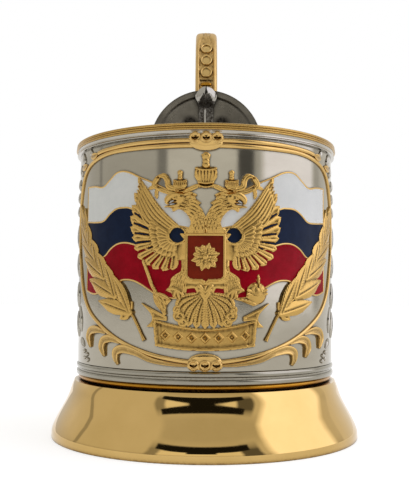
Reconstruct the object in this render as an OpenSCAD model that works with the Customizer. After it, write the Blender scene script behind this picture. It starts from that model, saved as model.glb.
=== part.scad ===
// Tea glass holder: a metal sleeve for a drinking glass, on a flared foot, with a tall strap handle.
// The origin is the middle of the foot's underside. +Z is up, the picture faces -Y, the handle is at +Y.

/* [Glass] */
// Diameter of the tea glass that the sleeve holds
glass_d = 69; // [66:0.5:71]
// Room between the glass and the sleeve, all round
glass_clearance = 0.5; // [0.3:0.1:0.8]

/* [Sleeve] */
// Thickness of the sleeve's wall
wall = 1.2; // [1:0.1:1.6]
// Height of the sleeve from its underside to its top edge
sleeve_h = 62.1; // [58:0.5:66]
// Thickness of the sleeve's floor
floor_t = 1.6; // [1.2:0.1:2]
// Radius inside the sleeve where wall meets floor
floor_fillet = 2; // [1:0.25:3]
// How far the sleeve steps in at its lower edge
step_in = 1; // [0.6:0.1:1.1]

/* [Foot] */
// Height of the flared foot
foot_h = 15.8; // [13:0.2:20]
// Radius of the foot where it stands
foot_r = 43.2; // [41:0.2:48]
// Radius of the foot at its top edge
foot_top_r = 37; // [36:0.1:39]
// Thickness of the foot's wall
foot_wall = 1.4; // [1.1:0.1:2]

/* [Seat] */
// Height of the neck ring between foot and sleeve
neck_h = 1.6; // [1.2:0.1:2.2]
// Thickness of the plate under the sleeve
plate_t = 1.3; // [1:0.1:1.8]
// Height of the half-round moulding round the sleeve's lower edge
moulding_h = 1.7; // [1.3:0.1:2.2]
// Groove between the plate and the moulding
groove_h = 0.4; // [0.2:0.1:0.6]

/* [Rim] */
// Height of the ribbed gold rim
rim_h = 1.8; // [1.4:0.1:2.2]
// How far the rim covers the sleeve's top edge
rim_cover = 0.7; // [0.5:0.1:1]
// How far the rim stands out from the sleeve
rim_out = 1.2; // [0.9:0.1:1.5]
// Height of the hollow moulding under the rim
cove_h = 1.4; // [1:0.1:1.8]

/* [Screw] */
// Diameter of the screw that holds foot, plate and sleeve together
screw_d = 4; // [3:0.5:5]
// Room round the screw in its holes
screw_play = 0.1; // [0.05:0.05:0.2]
// Length of the screw that stands out below the nut
screw_tail = 1.5; // [0.5:0.5:3]
// Width across the nut's flats
nut_w = 7; // [6:0.5:8]
// Thickness of the nut
nut_t = 3.2; // [2:0.2:4]
// Diameter of the washer
washer_d = 12; // [10:0.5:14]
// Thickness of the washer
washer_t = 1; // [0.8:0.1:1.5]

/* [Picture] */
// Thickness of the enamel on the sleeve
enamel_t = 0.35; // [0.25:0.05:0.45]
// Height of the fine walls between the enamels
line_h = 0.5; // [0.45:0.05:0.6]
// Width of the fine walls between the enamels
line_w = 0.55; // [0.4:0.05:0.7]
// Height of the cast figures on the sleeve
relief_h = 1.2; // [0.9:0.1:1.4]
// Height of the frame round the picture
frame_h = 0.6; // [0.5:0.05:0.8]
// Width of the frame's rib
frame_w = 1.2; // [1:0.1:1.4]

/* [Handle] */
// Height of the handle's highest point above the sleeve's top edge
handle_rise = 57; // [52:0.5:61]
// Distance from the sleeve to the middle of the handle's outer leg
handle_reach = 41; // [38:0.5:46]
// Width of the handle's strap
strap_w = 7.8; // [7:0.2:9]
// Thickness of the handle's strap
strap_t = 4; // [3.6:0.1:4.6]
// Depth of the channel along the strap
channel_t = 0.6; // [0.4:0.1:0.8]
// From the sleeve's top edge down to the middle of the handle's upper root
upper_root_drop = 16.8; // [14:0.2:20]
// From the sleeve's underside up to the middle of the handle's lower root
lower_root_rise = 12.3; // [10.5:0.2:15]

/* [Thumb shield] */
// Radius of the round shield in front of the handle
shield_r = 19.5; // [17:0.25:21]
// Height of the shield's top edge above the sleeve's top edge
shield_rise = 30.2; // [24:0.2:32]
// Thickness of the shield at its border
shield_t = 2.6; // [2.2:0.1:3]
// Width of the shield's raised border
border_w = 2.2; // [1.6:0.1:3]
// Depth of the shield's sunk face
sunk_t = 1; // [0.6:0.1:1.2]
// Room between the rim and the shield
shield_gap = 3; // [2.4:0.1:4]

/* [Hidden] */
$fn = 72;

gold = "#c9a04e";
pale_gold = "#cfb06a";
nickel = "#a9a49a";
dark_nickel = "#6b655c";
steel = "#8d8f92";
white = "#d9dcda";
navy = "#1d2a4a";
red = "#8a0f22";
brown_red = "#7c2a16";

// One overrun serves all cuts.
over = 0.6;
// Wrapped pieces lie this far off the wall, so that their flat facets stay clear of its curve.
seat = 0.03;

// Stack of heights
neck_z = foot_h;
plate_z = neck_z + neck_h;
sleeve_z = plate_z + plate_t;
floor_z = sleeve_z + floor_t;
moulding_z = sleeve_z + groove_h;
moulding_top = moulding_z + moulding_h;
sleeve_top = sleeve_z + sleeve_h;
rim_z = sleeve_top + rim_cover - rim_h;
cove_z = rim_z - cove_h;
handle_top = sleeve_top + handle_rise;
shield_top = sleeve_top + shield_rise;
upper_root_z = sleeve_top - upper_root_drop;
lower_root_z = sleeve_z + lower_root_rise;

// Radii
bore_r = glass_d / 2 + glass_clearance;
body_r = bore_r + wall;
rim_r = body_r + rim_out;
hole_r = screw_d / 2 + screw_play;

// The picture's unit sizes: tables of shares give places from its middle, across and up.
art_h_share = 0.87;
art_mid_share = 0.485;
art_w_share = 1.357;
art_h = (cove_z - moulding_top) * art_h_share;
art_z = moulding_top + (cove_z - moulding_top) * art_mid_share;
art_w = body_r * art_w_share;
// Figures near the front are cut straight back, and the laurels towards their own middle.
laurel_turn = 47;

// Curves through a few chosen points. A point with a third entry is a sharp corner.
function near(p, i, closed) =
    closed ? p[(i + len(p)) % len(p)] : p[max(0, min(len(p) - 1, i))];
function xy(p) = [p[0], p[1]];
function sharp(p) = len(p) > 2;
function slope(p, i, closed, ahead) =
    let (a = xy(near(p, i - 1, closed)), b = near(p, i, closed), c = xy(near(p, i + 1, closed)))
    sharp(b) ? (ahead ? c - xy(b) : xy(b) - a) : (c - a) / 2;
function blend(a, m, b, n, t) =
    a * (2 * t^3 - 3 * t^2 + 1) + m * (t^3 - 2 * t^2 + t) + b * (3 * t^2 - 2 * t^3) + n * (t^3 - t^2);
function curve(p, steps, closed) = [
    for (i = [0 : len(p) - (closed ? 1 : 2)])
        let (a = near(p, i, closed), b = near(p, i + 1, closed))
        let (k = sharp(a) && sharp(b) ? 1 : steps)
        for (j = [0 : k - 1])
            blend(xy(a), slope(p, i, closed, true), xy(b), slope(p, i + 1, closed, false), j / k),
    if (!closed) xy(p[len(p) - 1])
];
function reversed(p) = [for (i = [len(p) - 1 : -1 : 0]) p[i]];
function unit(v) = v / max(norm(v), 1e-9);
function mirrored(p) = [for (q = p) [-q[0], q[1]]];

// A place in the picture, as an angle round the sleeve and as a point of the flat view along -Y
function turn_of(p) = p[0] * art_w / body_r * 180 / PI;
function height_of(p) = art_z + p[1] * art_h;
function flat(p, middle) = [body_r * sin(turn_of(p) - middle), height_of(p)];
function on_wall(p, h) =
    [(body_r + h) * sin(turn_of(p)), -(body_r + h) * cos(turn_of(p)), height_of(p)];

module shape(p, steps = 3, middle = 0)
    polygon([for (q = curve(p, steps, true)) flat(q, middle)]);

// A band of one width along a curve, in the flat view
module band(p, w, steps = 3, middle = 0) {
    c = [for (q = curve(p, steps, false)) flat(q, middle)];
    n = len(c) - 1;
    side = [
        for (i = [0 : n])
            let (d = unit(c[min(n, i + 1)] - c[max(0, i - 1)])) [-d[1], d[0]] * w / 2
    ];
    polygon(concat([for (i = [0 : n]) c[i] + side[i]], [for (i = [n : -1 : 0]) c[i] - side[i]]));
}

// A leaf or feather from its root to its tip, in the flat view
petal_shares = [[0, 0.4], [0.4, 0.82], [0.72, 1], [0.88, 0.82], [0.97, 0.42], [1, 0.1]];
leaf_shares = [[0, 0.45], [0.2, 0.75], [0.42, 1], [0.62, 0.9], [0.85, 0.42], [1, 0.06]];
module petal(root, tip, w, shares, slim = 1, middle = 0) {
    a = flat(root, middle);
    d = flat(tip, middle) - a;
    n = unit([-d[1], d[0]]) * w * slim / 2;
    polygon(concat(
        [for (s = shares) a + d * s[0] + n * s[1]],
        [for (s = reversed(shares)) a + d * s[0] - n * s[1]]
    ));
}

// What lies between two heights over the sleeve's wall
module wall_shell(h0, h1)
    difference() {
        cylinder(r = body_r + h1, h = sleeve_top);
        translate([0, 0, -over]) cylinder(r = body_r + h0, h = sleeve_top + 2 * over);
    }

// A flat outline laid on the wall
module wall_pad(h0, h1, middle = 0)
    intersection() {
        wall_shell(h0, h1);
        rotate([0, 0, middle]) rotate([90, 0, 0]) linear_extrude(body_r + h1 + over) children();
    }

// Faces of a solid through n rings of m points each, as triangles
function loft_faces(n, m, closed) = [
    for (i = [0 : n - (closed ? 1 : 2)])
        for (j = [0 : m - 1])
            let (a = i * m + j, b = i * m + (j + 1) % m)
            let (c = ((i + 1) % n) * m + (j + 1) % m, d = ((i + 1) % n) * m + j)
            each [[a, b, c], [a, c, d]],
    if (!closed)
        for (j = [1 : m - 2])
            each [[0, j + 1, j], [(n - 1) * m, (n - 1) * m + j, (n - 1) * m + j + 1]]
];

// A ridged strip wrapped round the wall: its widths follow shares, its ridge is higher than its edges.
module wall_strip(p, w, width_shares, edge_h, ridge_h, closed = false, steps = 3) {
    c = curve(p, steps, closed);
    n = len(c);
    function wide(i) =
        let (t = i / (n - 1) * (len(width_shares) - 1), k = min(floor(t), len(width_shares) - 2))
        len(width_shares) == 1
            ? width_shares[0]
            : width_shares[k] + (width_shares[k + 1] - width_shares[k]) * (t - k);
    points = [
        for (i = [0 : n - 1])
            let (a = closed ? c[(i + n - 1) % n] : c[max(0, i - 1)])
            let (b = closed ? c[(i + 1) % n] : c[min(n - 1, i + 1)])
            let (d = unit([(b[0] - a[0]) * art_w, (b[1] - a[1]) * art_h]))
            let (o = [d[1] / art_w, -d[0] / art_h] * w * wide(i) / 2)
            each [
                on_wall(c[i] + o, seat), on_wall(c[i] + o, edge_h), on_wall(c[i], ridge_h),
                on_wall(c[i] - o, edge_h), on_wall(c[i] - o, seat), on_wall(c[i], seat)
            ]
    ];
    polyhedron(points, loft_faces(n, 6, closed));
}

// Foot, neck and floor

foot_edge_h = 1.5;
foot_lip_r = 1;
foot_hem = 0.8;
// Half-way points of the flared side: how far out from the top edge, and how far up
flare_shares = [[0.88, 0.29], [0.6, 0.5], [0.3, 0.68], [0.13, 0.83], [0.04, 0.93]];
foot_side = curve(concat(
    [[foot_r, foot_edge_h]],
    [for (s = flare_shares) [foot_top_r + s[0] * (foot_r - foot_top_r), s[1] * foot_h]],
    [[foot_top_r - foot_hem, foot_h]]
), 3, false);
module foot()
    color(pale_gold) rotate_extrude() polygon(concat(
        [[hole_r, foot_h], [hole_r, foot_h - foot_wall]],
        [[foot_top_r - foot_hem - foot_lip_r - foot_wall, foot_h - foot_wall]],
        [for (q = reversed(foot_side)) if (q[1] < foot_h - foot_wall) q - [foot_wall, 0]],
        [[foot_r - foot_wall, 0], [foot_r, 0]],
        foot_side
    ));

neck_r = foot_top_r - foot_hem - foot_lip_r;
neck_lip = 0.7;
neck_web = 4;
module neck_ring()
    color(gold) rotate_extrude() polygon([
        [neck_r - neck_web, neck_z], [neck_r, neck_z], [neck_r, plate_z - neck_lip],
        [neck_r + neck_lip, plate_z - neck_lip], [neck_r + neck_lip, plate_z],
        [neck_r - neck_web, plate_z]
    ]);

plate_out = 0.3;
plate_round = 0.25;
module under_plate()
    color(nickel) rotate_extrude() polygon([
        [hole_r, plate_z], [body_r + plate_out - plate_round, plate_z],
        [body_r + plate_out, plate_z + plate_round], [body_r + plate_out, sleeve_z - plate_round],
        [body_r + plate_out - plate_round, sleeve_z], [hole_r, sleeve_z]
    ]);

// The screw's flat head is a cone sunk in the floor, over a thin land.
head_land = 0.2;
head_sink = 0.1;
head_h = floor_t - head_land - head_sink;
head_z = floor_z - head_sink;
module sleeve()
    color(nickel) difference() {
        rotate_extrude() polygon(concat(
            [[0, sleeve_z], [body_r - step_in, sleeve_z], [body_r - step_in, moulding_top]],
            [[body_r, moulding_top], [body_r, sleeve_top], [bore_r, sleeve_top]],
            [
                for (a = [0 : 15 : 90])
                    [bore_r - floor_fillet * (1 - cos(a)), floor_z + floor_fillet * (1 - sin(a))]
            ],
            [[0, floor_z]]
        ));
        translate([0, 0, sleeve_z - over]) cylinder(r = hole_r, h = floor_t + 2 * over);
        translate([0, 0, head_z - head_h])
            cylinder(r1 = hole_r, r2 = hole_r + head_h + over, h = head_h + over);
    }

// Washer and nut draw the foot up from below.
clamp_z = foot_h - foot_wall - washer_t - nut_t;
module clamp_screw()
    color(steel) rotate_extrude() polygon([
        [0, clamp_z - screw_tail], [screw_d / 2, clamp_z - screw_tail],
        [screw_d / 2, head_z - head_h], [screw_d / 2 + head_h, head_z], [0, head_z]
    ]);

module washer()
    color(steel) translate([0, 0, clamp_z + nut_t]) difference() {
        cylinder(d = washer_d, h = washer_t);
        translate([0, 0, -over]) cylinder(r = hole_r, h = washer_t + 2 * over);
    }

module nut()
    color(steel) translate([0, 0, clamp_z]) difference() {
        cylinder(d = nut_w / cos(30), h = nut_t, $fn = 6);
        translate([0, 0, -over]) cylinder(r = hole_r, h = nut_t + 2 * over);
    }

moulding_out = 0.3;
module lower_moulding()
    color(nickel) rotate_extrude() polygon(concat(
        [[body_r - step_in, moulding_z]],
        [
            for (a = [-75 : 15 : 75])
                [body_r + moulding_out - moulding_h * (1 - cos(a)) / 2,
                 moulding_z + moulding_h * (1 + sin(a)) / 2]
        ],
        [[body_r - step_in, moulding_top]]
    ));

// Rim and the hollow moulding under it

rib_count = 3;
rib_t = 0.14;
rim_top_w = rim_out + wall;
module rim()
    color(gold) rotate_extrude() polygon(concat(
        [[bore_r, sleeve_top], [body_r, sleeve_top], [body_r, rim_z]],
        [
            for (i = [0 : rib_count * 6])
                let (t = i / (rib_count * 6))
                [rim_r - rib_t - rib_t * cos(360 * t * rib_count) - t^4 * rim_out / 3, rim_z + t * rim_h]
        ],
        [[bore_r + rim_top_w / 3, rim_z + rim_h], [bore_r, sleeve_top + rim_cover / 2]]
    ));

cove_out = 0.9;
cove_deep = 0.35;
module cove()
    color(nickel) rotate_extrude() polygon(concat(
        [[body_r, cove_z]],
        [
            for (a = [0 : 20 : 180])
                [body_r + cove_out - cove_deep * sin(a), cove_z + cove_h * (1 - cos(a)) / 2]
        ],
        [[body_r, rim_z]]
    ));

// The frame round the picture

frame_half_shares = [
    [0, 0.545], [0.345, 0.545], [0.55, 0.541], [0.7, 0.516], [0.792, 0.479], [0.86, 0.418], [0.912, 0.31],
    [0.933, 0.18], [0.922, 0.05], [0.882, -0.06], [0.83, -0.175], [0.74, -0.271], [0.62, -0.345],
    [0.469, -0.419], [0.3, -0.475], [0.14, -0.505], [0, -0.514]
];
frame_line_shares = concat(frame_half_shares, [
    for (i = [len(frame_half_shares) - 2 : -1 : 1]) mirrored(frame_half_shares)[i]
]);
// The rib is narrower at the sides.
rib_shares = [1, 0.9, 0.6, 0.85, 1, 0.85, 0.6, 0.9, 1];
frame_edge_h = frame_h * 2 / 3;
module picture_frame()
    color(gold) wall_strip(frame_line_shares, frame_w, rib_shares, frame_edge_h, frame_h, closed = true,
        steps = 5);

// The crest is a second band that stands one step over the rib and drops towards each corner, where it
// ends in two lobes.
crest_w = 1.2;
crest_gap = 0.10065;
crest_step = (frame_w + crest_w) / 2 + crest_gap;
crest_side_shares = [[0.2, 26 / 26], [0.4, 24 / 26], [0.588, 16 / 26], [0.655, 9 / 26]];
function crest_side(way) = [
    for (p = crest_side_shares) [way * p[0], frame_half_shares[0][1] + p[1] * crest_step / art_h]
];
crest_shares = concat(reversed(crest_side(-1)), [
    [0, frame_half_shares[0][1] + crest_step / art_h]
], crest_side(1));
lobe_w = 1.9;
drop_h = frame_h * 5 / 4;
lobe_shares = [0.2, 0.75, 1, 1, 0.85, 0.3];
upper_lobe_shares = [[0.662, 0.551], [0.7, 0.542], [0.732, 0.551]];
lower_lobe_shares = [[0.79, 0.509], [0.835, 0.5], [0.866, 0.514]];
module frame_crest()
    color(gold) {
        wall_strip(crest_shares, crest_w, [1], frame_edge_h, frame_h, steps = 4);
        for (p = [upper_lobe_shares, lower_lobe_shares]) {
            wall_strip(p, lobe_w, lobe_shares, frame_edge_h, drop_h, steps = 4);
            wall_strip(reversed(mirrored(p)), lobe_w, reversed(lobe_shares), frame_edge_h, drop_h,
                steps = 4);
        }
    }

// Three curls hang from the frame's lower corner, each a comma that turns down and in. The last one starts
// as a second strand under the frame, near its middle.
curl_path_shares = [
    [[0.567, -0.385], [0.634, -0.37], [0.697, -0.376], [0.726, -0.406], [0.72, -0.438], [0.711, -0.464]],
    [[0.463, -0.43], [0.522, -0.412], [0.574, -0.42], [0.594, -0.451], [0.585, -0.48], [0.574, -0.503]],
    [[0.08, -0.53], [0.169, -0.524], [0.273, -0.507], [0.359, -0.474], [0.434, -0.459], [0.481, -0.473],
        [0.488, -0.507], [0.472, -0.538]]
];
curl_w = 2.3;
short_curl_shares = [0.25, 0.6, 0.95, 1, 0.85, 0.3];
long_curl_shares = [0.25, 0.4, 0.5, 0.6, 0.7, 0.95, 1, 0.3];
module frame_curls()
    color(gold) for (p = curl_path_shares)
        wall_strip(p, curl_w, len(p) > len(short_curl_shares) ? long_curl_shares : short_curl_shares,
            frame_edge_h, relief_h, steps = 3);
module frame_curls_right() frame_curls();
module frame_curls_left() mirror([1, 0, 0]) frame_curls();

// Drops follow the frame's upper corner: where each starts and ends
drop_end_shares = [
    [[0.747, 0.59], [0.738, 0.55]], [[0.866, 0.585], [0.84, 0.52]], [[0.912, 0.525], [0.9, 0.46]],
    [[0.965, 0.452], [0.955, 0.39]], [[0.995, 0.38], [0.98, 0.32]], [[1.005, 0.305], [0.995, 0.245]]
];
drop_w = 1.5;
drop_shares = [0.1, 0.55, 0.9, 1, 0.85, 0.15];
module corner_drops()
    color(nickel) for (d = drop_end_shares)
        wall_strip(d, drop_w, drop_shares, frame_edge_h, drop_h, steps = 6);
module corner_drops_right() corner_drops();
module corner_drops_left() mirror([1, 0, 0]) corner_drops();

// A pendant of leaves and beads runs down beside the frame.
pendant_leaf_shares = [
    [[1.01, 0.2], [1.005, 0.14], [0.99, 0.07]], [[1.005, 0.04], [0.985, -0.02], [0.97, -0.09]],
    [[0.975, -0.12], [0.96, -0.19], [0.955, -0.26]], [[0.91, -0.25], [0.885, -0.32], [0.87, -0.39]],
    [[0.97, -0.28], [0.95, -0.35], [0.935, -0.42]], [[0.86, -0.42], [0.835, -0.45], [0.805, -0.465]]
];
pendant_w = 2;
pendant_shares = [0.1, 0.7, 1, 0.8, 0.1];
bead_place_shares = [[0.8, -0.49], [0.765, -0.505], [0.79, -0.522], [0.752, -0.532]];
bead_w = 1.2;
bead_shares = [0.1, 0.87, 1, 0.87, 0.1];
module side_pendant()
    color(nickel) {
        for (p = pendant_leaf_shares)
            wall_strip(p, pendant_w, pendant_shares, frame_edge_h / 2, frame_h, steps = 4);
        for (b = bead_place_shares)
            wall_strip([b - [0, bead_w / art_h / 2], b + [0, bead_w / art_h / 2]], bead_w, bead_shares,
                frame_edge_h / 2, frame_h, steps = 4);
    }
module side_pendant_right() side_pendant();
module side_pendant_left() mirror([1, 0, 0]) side_pendant();

// A clasp bridges the frame at the top and the bottom: a plate with three round eyes.
clasp_t = 1;
clasp_w_share = 0.08;
clasp_h_share = 0.042;
eye_step_share = 0.052;
eye_r = 0.95;
eye_slot_r = 0.4;
module clasp(z_share, lift_share)
    color(gold) wall_pad(frame_h + seat, frame_h + seat + clasp_t)
        difference() {
            union() {
                shape([
                    for (a = [0 : 30 : 330]) [clasp_w_share * cos(a), z_share + clasp_h_share * sin(a)]
                ]);
                for (i = [-1 : 1])
                    translate(flat([i * eye_step_share, z_share + lift_share], 0)) circle(r = eye_r * 1.15);
            }
            for (i = [-1 : 1])
                translate(flat([i * eye_step_share, z_share + lift_share], 0)) circle(r = eye_slot_r);
        }
top_clasp_share = 0.558;
bottom_clasp_share = -0.522;
eye_lift_share = 0.022;
module top_clasp() clasp(top_clasp_share, eye_lift_share);
module bottom_clasp() clasp(bottom_clasp_share, -eye_lift_share);

// The enamelled flag: four waved edges, from its outer end to its middle

top_wave_shares = [
    [0.762, 0.382], [0.68, 0.378], [0.604, 0.367], [0.546, 0.398], [0.5, 0.428], [0.456, 0.435],
    [0.406, 0.424], [0.346, 0.396], [0.282, 0.37], [0.176, 0.32], [0.06, 0.27]
];
upper_wave_shares = [
    [0.762, 0.196], [0.67, 0.188], [0.596, 0.19], [0.542, 0.224], [0.496, 0.246], [0.444, 0.25],
    [0.392, 0.241], [0.24, 0.176], [0.16, 0.154], [0.05, 0.132]
];
lower_wave_shares = [
    [0.762, 0.024], [0.69, 0.006], [0.62, 0], [0.578, 0.01], [0.534, 0.044], [0.488, 0.066],
    [0.438, 0.072], [0.38, 0.062], [0.26, 0.024], [0.16, 0.004], [0.05, 0]
];
bottom_wave_shares = [
    [0.762, -0.168], [0.67, -0.186], [0.56, -0.156], [0.466, -0.12], [0.42, -0.114], [0.376, -0.12],
    [0.33, -0.139], [0.28, -0.168], [0.24, -0.19], [0.19, -0.202], [0.13, -0.204], [0.02, -0.196]
];
module waved(upper, lower)
    polygon([
        for (q = concat(curve(upper, 2, false), reversed(curve(lower, 2, false)))) flat(q, 0)
    ]);
module flag_lines_flat() {
    for (wave = [top_wave_shares, upper_wave_shares, lower_wave_shares, bottom_wave_shares])
        band(wave, line_w, 2);
    band([top_wave_shares[0], bottom_wave_shares[0]], line_w, 1);
}
// What the figures leave free of the flag, on both sides
module flag_layer(h)
    for (side = [0, 1])
        mirror([side, 0, 0]) difference() {
            wall_pad(0, h) difference() {
                children();
                figures_flat(side);
            }
            wall_pad(-over, h + over, laurel_turn) laurel_flat();
        }
module enamel(colour, upper, lower)
    color(colour) flag_layer(enamel_t) difference() {
        waved(upper, lower);
        flag_lines_flat();
    }
module enamel_white() enamel(white, top_wave_shares, upper_wave_shares);
module enamel_blue() enamel(navy, upper_wave_shares, lower_wave_shares);
module enamel_red() enamel(red, lower_wave_shares, bottom_wave_shares);
module enamel_lines() color(gold) flag_layer(line_h) flag_lines_flat();

// Laurels: a stem with leaves in pairs, each pair an outer and an inner leaf, and a twig and one more leaf
// where the pairs begin

stem_shares = [
    [0.311, -0.413], [0.355, -0.333], [0.395, -0.277], [0.497, -0.193], [0.578, -0.099], [0.653, -0.02],
    [0.734, 0.057], [0.795, 0.13], [0.834, 0.215]
];
stem_w = 0.7;
twig_shares = [[0.395, -0.272], [0.387, -0.223]];
outer_tip_shares = [
    [0.619, -0.22], [0.713, -0.108], [0.79, 0.006], [0.843, 0.1], [0.88, 0.205], [0.889, 0.3]
];
inner_tip_shares = [
    [0.512, -0.082], [0.576, -0.022], [0.64, 0.03], [0.7, 0.1], [0.757, 0.185], [0.805, 0.275]
];
leaf_widths = [3.7, 4.4, 4.6, 4.4, 3.8, 3];
under_tip_shares = [0.459, -0.311];
under_leaf_w = 2.2;
module laurel_flat() {
    band(stem_shares, stem_w, 2, laurel_turn);
    band(twig_shares, stem_w, 1, laurel_turn);
    petal(stem_shares[2], under_tip_shares, under_leaf_w, leaf_shares, 1, laurel_turn);
    for (i = [0 : len(outer_tip_shares) - 1]) {
        petal(stem_shares[i + 2], outer_tip_shares[i], leaf_widths[i], leaf_shares, 1, laurel_turn);
        petal(stem_shares[i + 2], inner_tip_shares[i], leaf_widths[i] * 5 / 6, leaf_shares, 1, laurel_turn);
    }
}
leaf_h = relief_h * 2 / 3;
module laurel() color(gold) wall_pad(0, leaf_h, laurel_turn) laurel_flat();
module laurel_right() laurel();
module laurel_left() mirror([1, 0, 0]) laurel();

// The two-headed eagle, drawn for its right half

feather_hub_shares = [0.15, 0.085];
feather_root_share = 0.25;
feather_tip_shares = [
    [0.35, 0.394], [0.371, 0.318], [0.385, 0.256], [0.393, 0.201], [0.391, 0.148], [0.381, 0.095],
    [0.368, 0.042], [0.348, -0.004], [0.31, -0.036], [0.262, -0.06], [0.21, -0.07], [0.163, -0.066]
];
feather_widths = [1.8, 2.6, 3, 3, 3, 3, 3, 3, 3, 3, 3, 2.6];
function toward(a, b, t) = a + (b - a) * t;
module feathers(reach, slim)
    for (i = [0 : len(feather_tip_shares) - 1])
        petal(toward(feather_hub_shares, feather_tip_shares[i], feather_root_share),
            toward(feather_hub_shares, feather_tip_shares[i], reach), feather_widths[i], petal_shares, slim);
wing_arm_shares = [
    [0.346, 0.39, 1], [0.318, 0.35], [0.297, 0.308], [0.26, 0.256], [0.21, 0.2], [0.166, 0.156],
    [0.12, 0.13], [0.06, 0.11, 1], [0.06, -0.02, 1], [0.118, -0.02, 1], [0.18, -0.01], [0.25, 0.06],
    [0.3, 0.16], [0.34, 0.31]
];
wing_eye_shares = [0.138, 0.102];
wing_eye_r = 2;
neck_shares = [
    [0, 0.11, 1], [0, 0.19, 1], [0.018, 0.228], [0.036, 0.25, 1], [0.022, 0.26, 1], [0.052, 0.284],
    [0.042, 0.3, 1], [0.077, 0.314], [0.118, 0.317], [0.164, 0.31], [0.191, 0.29], [0.198, 0.266],
    [0.194, 0.254, 1], [0.172, 0.26, 1], [0.206, 0.243, 1], [0.172, 0.236], [0.16, 0.217, 1],
    [0.135, 0.23], [0.105, 0.218], [0.081, 0.188], [0.073, 0.158], [0.09, 0.126], [0.127, 0.11, 1]
];
leg_shares = [
    [0, 0.02, 1], [0.118, -0.02, 1], [0.118, -0.07], [0.142, -0.088], [0.167, -0.11], [0.173, -0.143],
    [0.193, -0.17, 1], [0.169, -0.179], [0.153, -0.202, 1], [0.127, -0.21, 1], [0.104, -0.2, 1],
    [0.094, -0.178], [0.086, -0.15], [0.056, -0.145], [0.036, -0.17], [0.032, -0.193, 1], [0, -0.2, 1]
];
tail_root_shares = [0, -0.18];
tail_tip_shares = [
    [0, -0.35], [0.043, -0.346], [0.083, -0.338], [0.119, -0.321], [0.142, -0.297], [0.137, -0.25]
];
tail_w = 2;
module tail_feathers(reach, slim)
    for (tip = tail_tip_shares)
        petal(tail_root_shares, toward(tail_root_shares, tip, reach), tail_w, petal_shares, slim);
module eagle_half()
    difference() {
        union() {
            shape(wing_arm_shares);
            feathers(1, 1);
            shape(neck_shares);
            shape(leg_shares);
            tail_feathers(1, 1);
        }
        difference() {
            translate(flat(wing_eye_shares, 0)) circle(r = wing_eye_r);
            shape(shield_ear_shares);
        }
        shape(shield_outline_shares);
    }
module both_sides() {
    children();
    mirror([1, 0, 0]) children();
}
module eagle()
    color(gold) {
        wall_pad(0, relief_h * 2 / 3) both_sides() eagle_half();
        wall_pad(relief_h / 3, relief_h) both_sides() {
            feathers(0.95, 0.6);
            tail_feathers(0.94, 0.6);
        }
    }

// Shield on the eagle's breast
shield_outline_shares = [
    [0, 0.112, 1], [0.099, 0.112, 1], [0.099, -0.092], [0.09, -0.11], [0.07, -0.121], [0.02, -0.122, 1],
    [0, -0.14, 1], [-0.02, -0.122, 1], [-0.07, -0.121], [-0.09, -0.11], [-0.099, -0.092], [-0.099, 0.112, 1]
];
shield_ear_shares = [[0.09, 0.112, 1], [0.127, 0.11, 1], [0.112, 0.09], [0.09, 0.07, 1]];
shield_rim_share = 0.88;
function shrunk(p, s) = [for (q = p) concat([q[0] * s, q[1] * s], len(q) > 2 ? [1] : [])];
module shield_rim()
    color(gold) wall_pad(0, relief_h) difference() {
        shape(shield_outline_shares);
        shape(shrunk(shield_outline_shares, shield_rim_share));
    }
module rosette_flat() {
    translate(flat([0, 0], 0)) circle(r = rosette_r / 2);
    for (a = [0 : 360 / rosette_leaves : 359])
        translate(flat([0, 0], 0)) rotate([0, 0, a]) translate([rosette_r * 2 / 3, 0])
            circle(r = rosette_r * 0.3);
}
rosette_r = 3;
rosette_leaves = 6;
module shield_enamel()
    color(brown_red) wall_pad(0, enamel_t) difference() {
        shape(shrunk(shield_outline_shares, shield_rim_share));
        rosette_flat();
    }
module shield_rosette() color(gold) wall_pad(0, relief_h) rosette_flat();

// Crowns: an outline for the middle one, which the outer two share at a smaller size
crown_half_shares = [
    [0, 0, 1], [0.037, 0, 1], [0.037, 0.02], [0.053, 0.06], [0.055, 0.08], [0.047, 0.1],
    [0.02, 0.105, 1], [0.017, 0.125], [0.018, 0.145], [0.024, 0.163, 1], [0, 0.167, 1]
];
crown_shares = concat(crown_half_shares, [for (i = [len(crown_half_shares) - 2 : -1 : 1])
    concat([-crown_half_shares[i][0], crown_half_shares[i][1]], len(crown_half_shares[i]) > 2 ? [1] : [])]);
middle_crown_shares = [0, 0.336];
outer_crown_shares = [0.127, 0.314];
outer_crown_share = 0.62;
function placed(p, at, s) =
    [for (q = p) concat([at[0] + q[0] * s, at[1] + q[1] * s], len(q) > 2 ? [1] : [])];
module crowns_flat() {
    shape(placed(crown_shares, middle_crown_shares, 1));
    shape(placed(crown_shares, outer_crown_shares, outer_crown_share));
    mirror([1, 0, 0]) shape(placed(crown_shares, outer_crown_shares, outer_crown_share));
}
module crowns() color(gold) wall_pad(0, relief_h) crowns_flat();

crown_ribbon_w = 1;
inner_fall_shares = [[0.034, 0.348], [0.068, 0.333], [0.108, 0.316]];
outer_loop_shares = [[0.14, 0.325], [0.184, 0.342], [0.193, 0.375], [0.209, 0.396], [0.235, 0.396],
    [0.255, 0.375], [0.262, 0.353], [0.243, 0.334], [0.2, 0.318], [0.14, 0.304]];
ribbon_tip_shares = [[[0.255, 0.345], [0.289, 0.336]], [[0.244, 0.336], [0.247, 0.289]]];
module crown_ribbons_flat()
    difference() {
        both_sides() {
            band(inner_fall_shares, crown_ribbon_w);
            band(outer_loop_shares, crown_ribbon_w);
            for (p = ribbon_tip_shares) band(p, crown_ribbon_w);
        }
        crowns_flat();
        both_sides() eagle_half();
    }
module crown_ribbons() color(gold) wall_pad(0, relief_h * 3 / 4) crown_ribbons_flat();

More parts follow.
